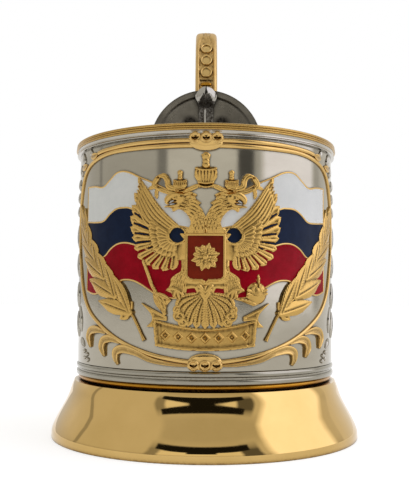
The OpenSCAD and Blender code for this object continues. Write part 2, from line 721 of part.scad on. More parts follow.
// Staff on one side, orb on the other
staff_line_shares = [[-0.314, -0.024], [-0.286, -0.092], [-0.267, -0.141], [-0.245, -0.18], [-0.2, -0.28]];
staff_head_shares = [
    [-0.261, -0.175, 1], [-0.219, -0.182], [-0.193, -0.204], [-0.166, -0.214, 1], [-0.191, -0.243],
    [-0.193, -0.286, 1], [-0.221, -0.267], [-0.247, -0.239], [-0.261, -0.205]
];
module staff_flat()
    difference() {
        union() {
            band(staff_line_shares, stem_w);
            shape(staff_head_shares);
        }
        both_sides() eagle_half();
    }
module staff() color(gold) wall_pad(0, relief_h) staff_flat();

orb_middle_shares = [0.257, -0.18];
orb_r = 2.7;
orb_foot_shares = [
    [0.15, -0.207, 1], [0.2, -0.214], [0.235, -0.205, 1], [0.28, -0.205, 1], [0.244, -0.242, 1]
];
orb_finial_shares = [[0.26, -0.155, 1], [0.258, -0.11], [0.267, -0.086], [0.276, -0.11], [0.275, -0.155, 1]];
module orb_flat()
    difference() {
        union() {
            translate(flat(orb_middle_shares, 0)) circle(r = orb_r);
            shape(orb_foot_shares);
            shape(orb_finial_shares);
        }
        both_sides() eagle_half();
    }
module orb() color(gold) wall_pad(0, relief_h) orb_flat();

// Ribbon under the eagle, with its folded ends
ribbon_face_shares = [
    [-0.261, -0.307, 1], [-0.198, -0.323], [-0.11, -0.34], [0, -0.351], [0.11, -0.34], [0.198, -0.323],
    [0.261, -0.307, 1], [0.248, -0.438, 1], [0.13, -0.453], [0, -0.458], [-0.13, -0.453], [-0.248, -0.438, 1]
];
ribbon_end_shares = [
    [0.332, -0.225, 1], [0.291, -0.261], [0.269, -0.288], [0.267, -0.317], [0.296, -0.345, 1],
    [0.26, -0.346, 1], [0.261, -0.307, 1], [0.19, -0.316, 1], [0.19, -0.294, 1]
];
module ribbon_flat()
    difference() {
        union() {
            shape(ribbon_face_shares);
            both_sides() shape(ribbon_end_shares);
        }
        both_sides() eagle_half();
        staff_flat();
        orb_flat();
    }
ribbon_h = relief_h * 3 / 4;
module ribbon() color(gold) wall_pad(0, ribbon_h) ribbon_flat();

lozenge_count = 7;
lozenge_step_share = 0.066;
lozenge_r = 1.5;
lozenge_mid_share = -0.397;
lozenge_sag_share = 0.3;
module ribbon_lozenges()
    color(gold) wall_pad(ribbon_h, relief_h) for (i = [0 : lozenge_count - 1]) {
        u = (i - (lozenge_count - 1) / 2) * lozenge_step_share;
        translate(flat([u, lozenge_mid_share + lozenge_sag_share * u^2], 0))
            circle(r = lozenge_r, $fn = 4);
    }

// Everything that lies on the flag. The second side of the flag is mirrored, so its figures are too.
module figures_flat(side)
    mirror([side, 0, 0]) {
        both_sides() eagle_half();
        shape(shield_outline_shares);
        both_sides() shape(shield_ear_shares);
        crowns_flat();
        crown_ribbons_flat();
        both_sides() shape(outer_loop_shares);
        staff_flat();
        orb_flat();
        ribbon_flat();
    }

// Thumb shield, and the cleft leaf that folds over its top edge

shield_front = rim_r + shield_gap;
shield_back = shield_front + shield_t;
shield_mid = shield_top - shield_r;
module thumb_shield()
    color(dark_nickel) translate([0, shield_back, shield_mid]) rotate([90, 0, 0])
        rotate_extrude() polygon([
            [0, 0], [shield_r, 0], [shield_r, shield_t - sunk_t / 2],
            [shield_r - sunk_t / 2, shield_t], [shield_r - border_w, shield_t],
            [shield_r - border_w - sunk_t / 2, shield_t - sunk_t], [0, shield_t - sunk_t]
        ]);

// Rings of the leaf, from the shield's middle up: their heights, and for each its half width and how
// far its back and its front stand out from the shield's back, as shares of the leaf's own size
leaf_top = 1.2;
leaf_half_w = 3.3;
leaf_out = 5.2;
sunk_share = (shield_t - sunk_t + seat) / leaf_out;
border_share = (shield_t + seat) / leaf_out;
leaf_heights = concat(
    [shield_mid + shield_r * 0.1, shield_mid + shield_r * 0.45],
    [for (k = [2.4, 1.5, 1.25]) shield_top - border_w * k],
    [for (k = [seat / leaf_top, 0.1, 0.55, 0.85, 1]) shield_top + leaf_top * k]
);
leaf_ring_shares = [
    [0.22, sunk_share, 0.5], [0.4, sunk_share, 0.6], [0.72, sunk_share, 0.82], [0.86, sunk_share, 0.93],
    [0.92, border_share, 0.97], [1, border_share, 1], [1, 0, 0.98], [0.86, 0, 0.8], [0.5, 0, 0.45],
    [0.16, 0, 0.2]
];
cleft_share = 0.3;
module leaf_hook() {
    points = [
        for (i = [0 : len(leaf_heights) - 1])
            let (q = leaf_ring_shares[i], z = leaf_heights[i], w = q[0] * leaf_half_w)
            let (b = shield_back - q[1] * leaf_out, f = shield_back - q[2] * leaf_out)
            each [
                [0, b, z], [w, b, z], [w * 0.9, (b + f) / 2, z], [w * 0.5, f, z],
                [0, f + (b - f) * cleft_share, z], [-w * 0.5, f, z],
                [-w * 0.9, (b + f) / 2, z], [-w, b, z]
            ]
    ];
    color(nickel) polyhedron(points, loft_faces(len(leaf_heights), 8, false));
}

// The strap's middle line: how far out from the sleeve, and how far up from the lower root
shield_seam = 0.1;
leg_y = shield_back + shield_seam + strap_t / 2;
root_face = body_r + shield_gap;
function rise(share) = lower_root_z + share * (handle_top - strap_t / 2 - lower_root_z);
bow_shares = [
    [0.24, 0.82], [0.32, 0.9], [0.44, 0.965], [0.58, 1], [0.74, 0.975], [0.87, 0.9], [0.96, 0.78],
    [1, 0.64], [0.995, 0.48], [0.93, 0.33], [0.79, 0.19], [0.58, 0.08], [0.33, 0.015]
];
strap_line = concat(
    [[root_face, upper_root_z]],
    [[root_face + strap_t * 0.8, upper_root_z + strap_t * 0.2], [leg_y, upper_root_z + strap_t * 1.3]],
    [for (z = [upper_root_z + strap_t * 2.2, shield_mid, shield_top - strap_t]) [leg_y, z]],
    [[leg_y, shield_top + seat]],
    [for (s = bow_shares) [body_r + s[0] * handle_reach, rise(s[1])]],
    [[root_face, lower_root_z]]
);
strap_curve = curve(strap_line, 3, false);
// Half of the strap's section, from the middle of its inner side to the middle of its channel: across, out
section_shares = [[0, -1], [0.5, -0.9], [0.86, -0.5], [1, 0.1], [0.98, 0.7], [0.86, 1], [0.66, 1]];
channel_share = 0.48;
section_half = concat(
    [for (s = section_shares) [s[0] * strap_w / 2, s[1] * strap_t / 2]],
    [[channel_share * strap_w / 2, strap_t / 2 - channel_t]]
);
section = concat(section_half, [
    for (i = [len(section_half) - 1 : -1 : 1]) [-section_half[i][0], section_half[i][1]]
]);
function strap_way(i) =
    let (n = len(strap_curve) - 1)
    i == 0 ? [1, 0] : i == n ? [-1, 0] : unit(strap_curve[i + 1] - strap_curve[i - 1]);
function strap_out(i) = let (d = strap_way(i)) [-d[1], d[0]];
module handle() {
    points = [
        for (i = [0 : len(strap_curve) - 1])
            for (s = section)
                let (q = strap_curve[i] + strap_out(i) * s[1]) [s[0], q[0], q[1]]
    ];
    color(gold) polyhedron(points, loft_faces(len(strap_curve), len(section), false));
}

// Places on the strap's front leg: the index before a height, and the place in the channel there
function leg_index(z, i = 0) = strap_curve[i + 1][1] > z ? i : leg_index(z, i + 1);
module in_channel(z) {
    i = leg_index(z);
    t = (z - strap_curve[i][1]) / (strap_curve[i + 1][1] - strap_curve[i][1]);
    q = strap_curve[i] + (strap_curve[i + 1] - strap_curve[i]) * t;
    d = unit(strap_curve[i + 1] - strap_curve[i]);
    floor_q = q + [-d[1], d[0]] * (strap_t / 2 - channel_t + ring_seat);
    translate([0, floor_q[0], floor_q[1]]) rotate([atan2(d[1], d[0]), 0, 0]) children();
}
ring_seat = 0.12;
ring_r = 1.85;
ring_h = 0.7;
ring_dip = 0.35;
ring_wall = 0.4;
ring_step = 4.75;
first_ring_up = 6.2;
stud_r = 1;
stud_gap = 0.2;
module handle_rings()
    color(gold) for (i = [0 : 2])
        in_channel(shield_top + first_ring_up + i * ring_step) difference() {
            cylinder(r = ring_r, h = ring_h);
            translate([0, 0, ring_h - ring_dip]) cylinder(r = ring_r - ring_wall, h = ring_dip + over);
        }
module handle_stud()
    color(pale_gold) in_channel(shield_top + leaf_top + stud_gap + stud_r) rotate_extrude() polygon(concat(
        [[0, 0]],
        [for (a = [0 : 15 : 90]) [stud_r * cos(a), stud_r * sin(a) * 0.8]]
    ));

// Roots: a pointed plate on the sleeve, and a boss with a flat face for the strap's end
root_t = 1;
root_h = 17;
root_w = 12;
boss_margin = 0.7;
root_shares = [
    [0, 0.5, 1], [0.2, 0.36], [0.36, 0.2], [0.5, 0], [0.36, -0.2], [0.2, -0.36], [0, -0.5, 1],
    [-0.2, -0.36], [-0.36, -0.2], [-0.5, 0], [-0.36, 0.2], [-0.2, 0.36]
];
module root_plate(z, h0, h1)
    rotate([0, 0, 180]) intersection() {
        wall_shell(h0, h1);
        translate([0, 0, z]) rotate([90, 0, 0]) linear_extrude(body_r + h1 + over) children();
    }
module root(z)
    color(gold) union() {
        root_plate(z, 0, root_t)
            polygon([for (q = curve(root_shares, 3, true)) [q[0] * root_w, q[1] * root_h]]);
        difference() {
            translate([0, root_face, z]) rotate([90, 0, 0]) linear_extrude(root_face - body_r / 2)
                polygon([
                    for (a = [0 : 15 : 345])
                        [(strap_w / 2 + boss_margin) * sign(cos(a)) * sqrt(abs(cos(a))),
                         (strap_t / 2 + boss_margin) * sign(sin(a)) * sqrt(abs(sin(a)))]
                ]);
            cylinder(r = body_r + root_t / 2, h = sleeve_top);
        }
    }
module upper_root() root(upper_root_z);
module lower_root() root(lower_root_z);

rivet_r = 1.1;
rivet_h = 0.6;
rivet_share = 0.3;
module root_rivets()
    color(steel) for (z = [upper_root_z, lower_root_z]) for (side = [-1, 1])
        root_plate(z + side * rivet_share * root_h, root_t, root_t + rivet_h) circle(r = rivet_r);

foot();
neck_ring();
under_plate();
sleeve();
clamp_screw();
washer();
nut();
lower_moulding();
rim();
cove();
picture_frame();
frame_crest();
frame_curls_left();
frame_curls_right();
corner_drops_left();
corner_drops_right();
side_pendant_left();
side_pendant_right();
top_clasp();
bottom_clasp();
enamel_white();
enamel_blue();
enamel_red();
enamel_lines();
laurel_left();
laurel_right();
eagle();
crowns();
crown_ribbons();
shield_rim();
shield_enamel();
shield_rosette();
staff();
orb();
ribbon();
ribbon_lozenges();
thumb_shield();
leaf_hook();
handle();
handle_rings();
handle_stud();
upper_root();
lower_root();
root_rivets();
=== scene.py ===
# Tea glass holder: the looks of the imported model, in metres, in the model's own frame.
# Outlines on the wall are shares of the picture's width and height, as in the model's source.
import math

import bpy
import numpy as np
from mathutils import Matrix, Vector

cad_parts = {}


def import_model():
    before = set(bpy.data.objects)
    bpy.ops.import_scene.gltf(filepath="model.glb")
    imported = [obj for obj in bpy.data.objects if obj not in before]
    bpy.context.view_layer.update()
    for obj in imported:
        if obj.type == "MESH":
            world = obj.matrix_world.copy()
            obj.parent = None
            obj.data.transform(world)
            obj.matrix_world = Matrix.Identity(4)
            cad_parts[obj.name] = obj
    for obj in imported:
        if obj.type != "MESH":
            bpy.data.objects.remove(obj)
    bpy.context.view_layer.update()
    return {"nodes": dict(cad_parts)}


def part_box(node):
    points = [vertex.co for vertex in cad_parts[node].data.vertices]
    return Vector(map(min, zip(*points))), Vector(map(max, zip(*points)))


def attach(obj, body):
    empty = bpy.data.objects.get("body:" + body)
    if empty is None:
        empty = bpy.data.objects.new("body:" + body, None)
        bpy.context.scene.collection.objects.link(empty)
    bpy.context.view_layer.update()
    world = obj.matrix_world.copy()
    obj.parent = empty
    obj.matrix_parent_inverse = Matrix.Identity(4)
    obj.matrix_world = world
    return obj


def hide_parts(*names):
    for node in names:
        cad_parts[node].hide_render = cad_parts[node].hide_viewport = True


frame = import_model()
MM = 0.001
TURN = 2 * math.pi


def box(node):
    """Lowest and highest corner of a node, in millimetres."""
    low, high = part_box(node)
    return [c / MM for c in low], [c / MM for c in high]


# Corners read from the model, in millimetres
foot_high = box("foot")[1]
neck_low, neck_high = box("neck_ring")
plate_low, plate_high = box("under_plate")
sleeve_low, sleeve_high = box("sleeve")
moulding_low, moulding_high = box("lower_moulding")
cove_low, cove_high = box("cove")
rim_low, rim_high = box("rim")
shield_low, shield_high = box("thumb_shield")
handle_high = box("handle")[1]
upper_low, upper_high = box("upper_root")
lower_low, lower_high = box("lower_root")
WALL_T = 1.2
SCREW_R = 2.1
body_r = sleeve_high[0]
bore_r = body_r - WALL_T
wall_h = cove_low[2] - moulding_high[2]

# The picture's unit of width and height, and the height of its middle
art_w = body_r * 1.357
art_h = wall_h * 0.87
art_z = moulding_high[2] + wall_h * 0.485


def curve(points, steps=6, closed=False):
    """A smooth line through a few chosen points. A point with a third entry is a sharp corner."""
    n = len(points)
    flat = [np.array(p[:2], float) for p in points]

    def near(i):
        return flat[i % n] if closed else flat[max(0, min(n - 1, i))]

    def slope(i, ahead):
        if len(points[i % n]) > 2:
            return near(i + 1) - near(i) if ahead else near(i) - near(i - 1)
        return (near(i + 1) - near(i - 1)) / 2

    out = []
    for i in range(n if closed else n - 1):
        a, b = near(i), near(i + 1)
        both_sharp = len(points[i % n]) > 2 and len(points[(i + 1) % n]) > 2
        k = 1 if both_sharp else steps
        for j in range(k):
            t = j / k
            out.append(
                a * (2 * t**3 - 3 * t**2 + 1) + slope(i, True) * (t**3 - 2 * t**2 + t)
                + b * (3 * t**2 - 2 * t**3) + slope(i + 1, False) * (t**3 - t**2)
            )
    if not closed:
        out.append(flat[-1])
    return np.array(out)


def on_wall(points):
    """Shares to millimetres: along the wall from the picture's middle, and up from the foot."""
    points = np.asarray(points, float)
    return np.stack([points[:, 0] * art_w, art_z + points[:, 1] * art_h], 1)


def wall_path(points, steps=6):
    return on_wall(curve(points, steps))


def wall_outline(points, steps=4):
    return on_wall(curve(points, steps, True))


def mirrored(points):
    return [(-p[0],) + tuple(p[1:]) for p in points]


def both(points):
    """The points of a half outline from top to bottom, and back up its mirror image."""
    return list(points) + mirrored(points[-2:0:-1])


def toward(a, b, t):
    return (a[0] + (b[0] - a[0]) * t, a[1] + (b[1] - a[1]) * t)


# Relief: a height field on the wall, which becomes a closed solid skin

FINE_GRID = 0.12
MARGIN = 0.4    # room round a shape, in millimetres
OUTSIDE = -9.0  # depth of a place that no shape is near
FAR = 1e9
TINY = 1e-6
FLOOR = 0.15    # a cut goes no lower than this
SINK = 0.15     # how far relief and bars reach into the wall
RUB = 0.45      # a place that stands over those this far round it is rubbed bright
SLIT_SHARE = 0.11
BARB_SLANT = 0.9


class Relief:
    """How far inside its outline each place on the wall lies, and how high it stands, in millimetres."""

    def __init__(self, low, high, grid):
        low, high = on_wall([low, high])
        self.grid = grid
        self.s, self.z = [
            np.arange(math.floor(a / grid), math.ceil(b / grid) + 1) * grid for a, b in zip(low, high)
        ]
        self.inside = np.full((len(self.z), len(self.s)), OUTSIDE)
        self.height = np.zeros_like(self.inside)

    def window(self, points, margin=MARGIN):
        """The part of the field round some points, and its places."""
        low, high = points.min(0) - margin, points.max(0) + margin
        s0, s1 = np.searchsorted(self.s, (low[0], high[0]))
        z0, z1 = np.searchsorted(self.z, (low[1], high[1]))
        return (slice(z0, z1), slice(s0, s1)), *np.meshgrid(self.s[s0:s1], self.z[z0:z1])

    def within(self, outline):
        """The part of the field round a closed outline, and the depths inside it."""
        view, s, z = self.window(outline)
        return view, polygon_inside(outline, s, z)

    def clip(self, outline):
        """Depths inside an outline for the whole field."""
        depths = np.full(self.inside.shape, OUTSIDE)
        view, inside = self.within(outline)
        depths[view] = inside
        return depths

    def lay(self, view, inside, height, clip=None):
        """Adds a shape on top. With clip, it is kept to what is already there."""
        edge = -self.grid * 1.5
        near = inside > edge
        if clip is not None:
            inside = np.minimum(inside, clip)
            near &= clip > edge
        self.height[view] = np.where(near, np.maximum(self.height[view], height), self.height[view])
        self.inside[view] = np.maximum(self.inside[view], inside)

    def cut(self, view, inside, depth, floor):
        """Sinks what lies inside by up to depth, with soft edges."""
        share = np.clip(inside / (self.grid * 2) + 0.5, 0, 1)
        now = self.height[view]
        self.height[view] = np.maximum(now - depth * share, np.minimum(now, floor))

    def remove(self, view, inside):
        self.inside[view] = np.minimum(self.inside[view], -inside)

    def both_sides(self):
        """Adds the mirror image of a field whose first column is the middle."""
        self.s = np.concatenate([-self.s[:0:-1], self.s])
        self.inside, self.height = [
            np.concatenate([field[:, :0:-1], field], 1) for field in (self.inside, self.height)
        ]
        return self

    def flipped(self):
        self.s = -self.s[::-1]
        self.inside, self.height = self.inside[:, ::-1].copy(), self.height[:, ::-1].copy()
        return self


def polygon_inside(points, s, z):
    """Depth inside a closed outline, negative outside it."""
    nearest = np.full(s.shape, FAR)
    odd = np.zeros(s.shape, bool)
    for a, b in zip(points, np.roll(points, -1, 0)):
        d = b - a
        length = float(d @ d)
        if length < TINY**2:
            continue
        t = np.clip(((s - a[0]) * d[0] + (z - a[1]) * d[1]) / length, 0, 1)
        nearest = np.minimum(nearest, (s - a[0] - t * d[0]) ** 2 + (z - a[1] - t * d[1]) ** 2)
        if a[1] != b[1]:
            crossed = (z > a[1]) != (z > b[1])
            odd ^= crossed & (s < a[0] + (z - a[1]) / (b[1] - a[1]) * d[0])
    return np.where(odd, 1, -1) * np.sqrt(nearest)


def run_along(path):
    """Length of a path up to each of its points."""
    return np.concatenate([[0], np.cumsum(np.hypot(*np.diff(path, axis=0).T))])


def along(path, s, z):
    """Distance from a path, and share of the way along it."""
    lengths = np.hypot(*np.diff(path, axis=0).T)
    total = lengths.sum()
    nearest = np.full(s.shape, FAR)
    share = np.zeros(s.shape)
    run = 0
    for a, b, length in zip(path[:-1], path[1:], lengths):
        if length < TINY:
            continue
        d = (b - a) / length
        u = (s - a[0]) * d[0] + (z - a[1]) * d[1]
        t = np.clip(u, 0, length)
        distance = np.hypot(u - t, (z - a[1]) * d[0] - (s - a[0]) * d[1])
        closer = distance < nearest
        nearest = np.where(closer, distance, nearest)
        share = np.where(closer, (run + t) / total, share)
        run += length
    return nearest, share


def dome(inside, half):
    """From 0 at the outline to 1 at a depth of half, rounded over."""
    return np.clip(1 - (1 - np.clip(inside / half, 0, 1)) ** 2, 0, 1) ** 0.5


def bead(inside, middle, half):
    """1 where the depth is middle, rounded down to 0 at half to both sides."""
    return dome(half - abs(inside - middle), half)


# Shares of a stroke's width at shares of its length
PETAL = ([0, 0.4, 0.72, 0.88, 0.97, 1], [0.4, 0.82, 1, 0.82, 0.42, 0.1])
LEAF = ([0, 0.2, 0.42, 0.62, 0.85, 1], [0.12, 0.6, 1, 0.9, 0.4, 0.04])
SCALE = ([0, 0.3, 0.65, 0.85, 0.96, 1], [0.55, 0.85, 1, 0.86, 0.5, 0.15])
BLADE = ([0, 0.15, 0.5, 0.85, 1], [0.35, 0.8, 1, 0.7, 0.1])
CORD = ([0, 1], [1, 1])
GAP = ([0, 0.4, 1], [0.4, 0.9, 1])
BEAK = ([0, 0.4, 0.75, 1], [0.5, 0.95, 0.75, 0.1])
TONGUE = ([0, 0.5, 1], [0.9, 0.8, 0.2])
SPIKE = ([0, 0.4, 1], [0.8, 1, 0.08])
CLAW = ([0, 0.5, 0.8, 1], [0.9, 1, 0.7, 0.15])
VANE = ([0, 0.35, 0.7, 0.92, 1], [0.35, 0.62, 1, 0.85, 0.2])
SCROLL = ([0, 0.5, 1], [0.6, 1, 0.9])
SHAFT = ([0, 0.2, 0.85, 1], [0.5, 0.9, 1, 0.2])
BAND = ([0, 0.2, 0.8, 1], [0.6, 1, 1, 0.5])
TOE = ([0, 0.6, 1], [0.5, 1, 0.6])
VEIN = ([0, 0.8, 1], [1, 0.8, 0.1])
SLIT = ([0, 0.5, 1], [0.3, 1, 0.3])


def blade(relief, path, width, shape, base, rise, slit=0.0, barb=0.0, clip=None, pitch=0.5):
    """A feather, leaf, cord or stroke along a path: crowned, with a slit along its middle and barbs."""
    view, s, z = relief.window(path, width / 2 + MARGIN)
    distance, share = along(path, s, z)
    half = np.interp(share, *shape) * width / 2
    across = np.clip(distance / np.maximum(half, TINY), 0, 1)
    height = base + rise * np.sqrt(np.clip(1 - across**2, 0, 1))
    middle = np.clip(np.minimum(share, 1 - share) * 6, 0, 1)
    if slit:
        height -= slit * np.exp(-(distance / (SLIT_SHARE * width)) ** 2) * middle
    if barb:
        length = np.hypot(*np.diff(path, axis=0).T).sum()
        height += barb * np.sin(TURN * (share * length - distance * BARB_SLANT) / pitch) * middle
    relief.lay(view, half - distance, height, None if clip is None else clip[view])


def strokes(relief, *rows):
    """Blades from rows of points, steps and what blade() takes."""
    for points, steps, *looks in rows:
        blade(relief, wall_path(points, steps), *looks)


def plate(relief, outline, base, rise, half):
    """A closed outline that rises from its edge towards its middle."""
    points = wall_outline(outline)
    view, inside = relief.within(points)
    relief.lay(view, inside, base + rise * dome(inside, half))
    return points


def ball(relief, middle, radius, base, rise, flat=1.0):
    """A round boss; flat below 1 makes it lower than wide."""
    centre = on_wall([middle])[0]
    view, s, z = relief.window(np.array([centre]), radius + MARGIN)
    inside = radius - np.hypot(s - centre[0], (z - centre[1]) / flat)
    relief.lay(view, inside, base + rise * dome(inside, radius))


def dot(relief, middle, width, base, rise):
    """A round spot at a place in millimetres, as a very short cord."""
    blade(relief, np.array([middle, middle + 0.01]), width, CORD, base, rise)


def engrave(relief, path, width, depth, shape=BLADE, floor=FLOOR):
    """A line cut into what is there."""
    view, s, z = relief.window(path, width / 2 + MARGIN)
    distance, share = along(path, s, z)
    relief.cut(view, np.interp(share, *shape) * width / 2 - distance, depth, floor)


def plumage(relief, path, columns, step, length, width, base, rise, clip, flare=0.0):
    """Rows of small feathers down a path, each row half a step off the one above."""
    run = run_along(path)
    for row in range(int(run[-1] / step)):
        at = row * step
        k = min(np.searchsorted(run, at, "right") - 1, len(path) - 2)
        d = (path[k + 1] - path[k]) / np.hypot(*(path[k + 1] - path[k]))
        here = path[k] + d * (at - run[k])
        normal = np.array([-d[1], d[0]])
        for column in range(columns):
            off = (column - (columns - 1) / 2 + (0.5 if row % 2 else 0)) * width * 0.92
            way = d * math.cos(flare * off) + normal * math.sin(flare * off)
            start = here + normal * off
            feather = np.array([start, start + way * length])
            blade(relief, feather, width, SCALE, base, rise, slit=0.26, clip=clip)


# Meshes

def add_mesh(name, vertices, faces, smooth_angle, wear_and_shade=None):
    """A mesh object from vertices in millimetres. Its rub value is high where the metal is rubbed bright, and
    low where tarnish and painted shade darken it.
    """
    mesh = bpy.data.meshes.new(name)
    mesh.from_pydata((np.asarray(vertices, float) * MM).tolist(), [], faces)
    mesh.validate()
    if wear_and_shade is not None:
        raised = mesh.attributes.new("raised", "FLOAT", "POINT")
        raised.data.foreach_set("value", np.asarray(wear_and_shade, np.float32))
    mesh.shade_smooth()
    mesh.set_sharp_from_angle(angle=math.radians(smooth_angle))
    piece = bpy.data.objects.new(name, mesh)
    bpy.context.scene.collection.objects.link(piece)
    return piece


def grid_faces(n, m, round_n=False, round_m=False):
    """Faces over n rows of m points."""
    return [
        [i * m + j, i * m + (j + 1) % m, (i + 1) % n * m + (j + 1) % m, (i + 1) % n * m + j]
        for i in range(n if round_n else n - 1) for j in range(m if round_m else m - 1)
    ]


def turned_over(faces):
    return [[a, d, c, b] for a, b, c, d in faces]


def end_faces(n, m):
    return [list(range(m))[::-1], [(n - 1) * m + j for j in range(m)]]


def joined(name, parts):
    """Several meshes made into one piece, with their rub and shade values."""
    vertices, faces, wear_and_shade = [], [], []
    for part in parts:
        mesh, offset = part.data, len(vertices)
        vertices += [tuple(v.co / MM) for v in mesh.vertices]
        faces += [[offset + v for v in p.vertices] for p in mesh.polygons]
        worn = mesh.attributes.get("raised")
        wear_and_shade += [d.value for d in worn.data] if worn else [0.1] * len(mesh.vertices)
        bpy.data.objects.remove(part)
    return add_mesh(name, vertices, faces, 50, wear_and_shade)


def set_material(piece, material):
    piece.data.materials.clear()
    piece.data.materials.append(material)


def finish_piece(piece, material, node):
    set_material(piece, material)
    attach(piece, "root")
    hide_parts(node)


def gilded(name, relief, node):
    finish_piece(skin(name, relief), GOLD, node)


def blurred(field, radius, grid):
    """The field averaged over a square window, twice."""
    k = max(1, int(round(radius / grid)))
    width = 2 * k + 1
    for axis in (0, 1, 0, 1):
        pad = [(k + 1, k) if i == axis else (0, 0) for i in (0, 1)]
        total = np.cumsum(np.pad(field, pad, "edge"), axis=axis)
        ahead = np.take(total, range(width, total.shape[axis]), axis=axis)
        behind = np.take(total, range(0, total.shape[axis] - width), axis=axis)
        field = (ahead - behind) / width
    return field


def wrapped(s, level, z):
    """Places on the wall, level above it, as points in space."""
    return np.stack([(body_r + level) * np.sin(s / body_r), -(body_r + level) * np.cos(s / body_r), z], -1)


def skin(name, relief):
    """The relief as a closed mesh round the wall, cut sharp along its outline."""
    inside, height = relief.inside, relief.height
    inner = inside > 0
    solid_height = np.where(inner, height, 0)
    # Height over the blurred surroundings: high places are rubbed bright, and hollows are darkened, partly as
    # tarnish and partly as painted shade
    raised = solid_height - blurred(solid_height, RUB, relief.grid)
    ids = np.cumsum(inner).reshape(inner.shape) - 1
    s, z = np.meshgrid(relief.s, relief.z)
    count = int(inner.sum())

    def crossings(axis):
        """Where the outline crosses the grid's lines: their numbers, and the places."""
        a, b = [
            tuple(part if k == axis else slice(None) for k in (0, 1))
            for part in (slice(None, -1), slice(1, None))
        ]
        crossed = inner[a] != inner[b]
        which = np.full(crossed.shape, -1)
        which[crossed] = np.arange(crossed.sum())
        t = (inside[a] / np.where(crossed, inside[a] - inside[b], 1))[crossed]
        place = [field[a][crossed] + t * (field[b] - field[a])[crossed] for field in (s, z)]
        place += [
            np.where(inner[a][crossed], field[a][crossed], field[b][crossed]) for field in (height, raised)
        ]
        return which, np.stack(place, 1)

    across, across_places = crossings(1)
    up, up_places = crossings(0)
    across = np.where(across >= 0, across + count, -1)
    up = np.where(up >= 0, up + count + len(across_places), -1)
    places = np.stack([field[inner] for field in (s, z, height, raised)], 1)
    top = np.concatenate([places, across_places, up_places])
    n = len(top)

    def corners(field):
        return [field[:-1, :-1], field[:-1, 1:], field[1:, 1:], field[1:, :-1]]

    corner_ids = corners(ids)
    edge_ids = [across[:-1, :], up[:, 1:], across[1:, :], up[:, :-1]]
    code = sum(c.astype(int) << k for k, c in enumerate(corners(inner)))
    faces = []
    for case in range(1, 16):
        cells = code == case
        if not cells.any():
            continue
        ring, kinds = [], []
        for k in range(4):
            here, following = case >> k & 1, case >> (k + 1) % 4 & 1
            if here:
                ring.append(corner_ids[k][cells])
                kinds.append("corner")
            if here != following:
                ring.append(edge_ids[k][cells])
                kinds.append("out" if here else "in")
        ring = np.stack(ring, 1)
        faces += ring.tolist()
        faces += (ring[:, ::-1] + n).tolist()
        for k, kind in enumerate(kinds):
            if kind == "out":
                a, b = ring[:, k], ring[:, (k + 1) % len(kinds)]
                faces += np.stack([b, a, a + n, b + n], 1).tolist()

    s, z, level, wear_and_shade = top.T
    vertices = np.concatenate([wrapped(s, level, z), wrapped(s, np.full(n, -SINK), z)])
    return add_mesh(name, vertices, faces, 55, np.concatenate([wear_and_shade, wear_and_shade]))


def revolved(profile, segments):
    """Two directions and the lift of (radius, lift) points turned once round."""
    profile = np.asarray(profile, float)
    turn = np.arange(segments) / segments * TURN
    first, second = [np.outer(way, profile[:, 0]).ravel() for way in (np.cos(turn), np.sin(turn))]
    return first, second, np.tile(profile[:, 1], segments)


def turned(name, profile, segments=256, wear_and_shade=None):
    """A ring or disc turned round the upright axis from (radius, height) points."""
    ahead, across, height = revolved(profile, segments)
    faces = turned_over(grid_faces(segments, len(profile), True, True))
    if wear_and_shade is not None:
        wear_and_shade = np.tile(wear_and_shade, segments)
    return add_mesh(name, np.stack([across, -ahead, height], 1), faces, 35, wear_and_shade)


def arc(middle, radius, start, end, steps=8, flat=1.0):
    """Points of an arc, its angles in degrees."""
    turn = np.radians(np.linspace(start, end, steps + 1))
    x, y = middle[0] + radius * np.cos(turn), middle[1] + radius * flat * np.sin(turn)
    return np.stack([x, y], 1).tolist()


def swept(name, centre, sections, wear_and_shade):
    """A bar in the middle plane: centre holds (out, up) points, each with its section of (across, out)."""
    n, m = sections.shape[:2]
    way = np.gradient(centre, axis=0)
    way /= np.hypot(*way.T)[:, None]
    way[0], way[-1] = (1, 0), (-1, 0)
    out = np.stack([-way[:, 1], way[:, 0]], 1)
    vertices = np.stack([
        sections[:, :, 0].ravel(),
        (centre[:, None, 0] + out[:, None, 0] * sections[:, :, 1]).ravel(),
        (centre[:, None, 1] + out[:, None, 1] * sections[:, :, 1]).ravel(),
    ], 1)
    return add_mesh(name, vertices, grid_faces(n, m, round_m=True) + end_faces(n, m), 40, wear_and_shade)


# Materials

def new_material(name):
    material = bpy.data.materials.new(name)
    material.use_nodes = True
    return material, material.node_tree, material.node_tree.nodes["Principled BSDF"]


def fill(tree, node, **values):
    """Gives a node its settings and inputs. An input takes a constant or another node's output."""
    for key, value in values.items():
        if hasattr(node, key):
            setattr(node, key, value)
        else:
            feed(tree, node.inputs[key.replace("_", " ")], value)


def feed(tree, socket, value):
    if isinstance(value, bpy.types.NodeSocket):
        tree.links.new(value, socket)
    else:
        socket.default_value = value


def add_node(tree, kind, **values):
    node = tree.nodes.new(kind)
    fill(tree, node, **values)
    return node


def noise(tree, scale, detail=4, roughness=0.55, stretch=(1, 1, 1)):
    """Noise in object space; scale is in turns per metre."""
    place = add_node(tree, "ShaderNodeTexCoord").outputs["Object"]
    place = add_node(tree, "ShaderNodeMapping", Vector=place, Scale=stretch).outputs["Vector"]
    texture = add_node(
        tree, "ShaderNodeTexNoise", Vector=place, Scale=scale, Detail=detail, Roughness=roughness
    )
    return texture.outputs["Fac"]


def span(tree, value, low, high, to_low=0.0, to_high=1.0):
    """A value mapped from one range to another, and held at its ends."""
    return add_node(
        tree, "ShaderNodeMapRange", Value=value, From_Min=low, From_Max=high, To_Min=to_low, To_Max=to_high
    ).outputs["Result"]


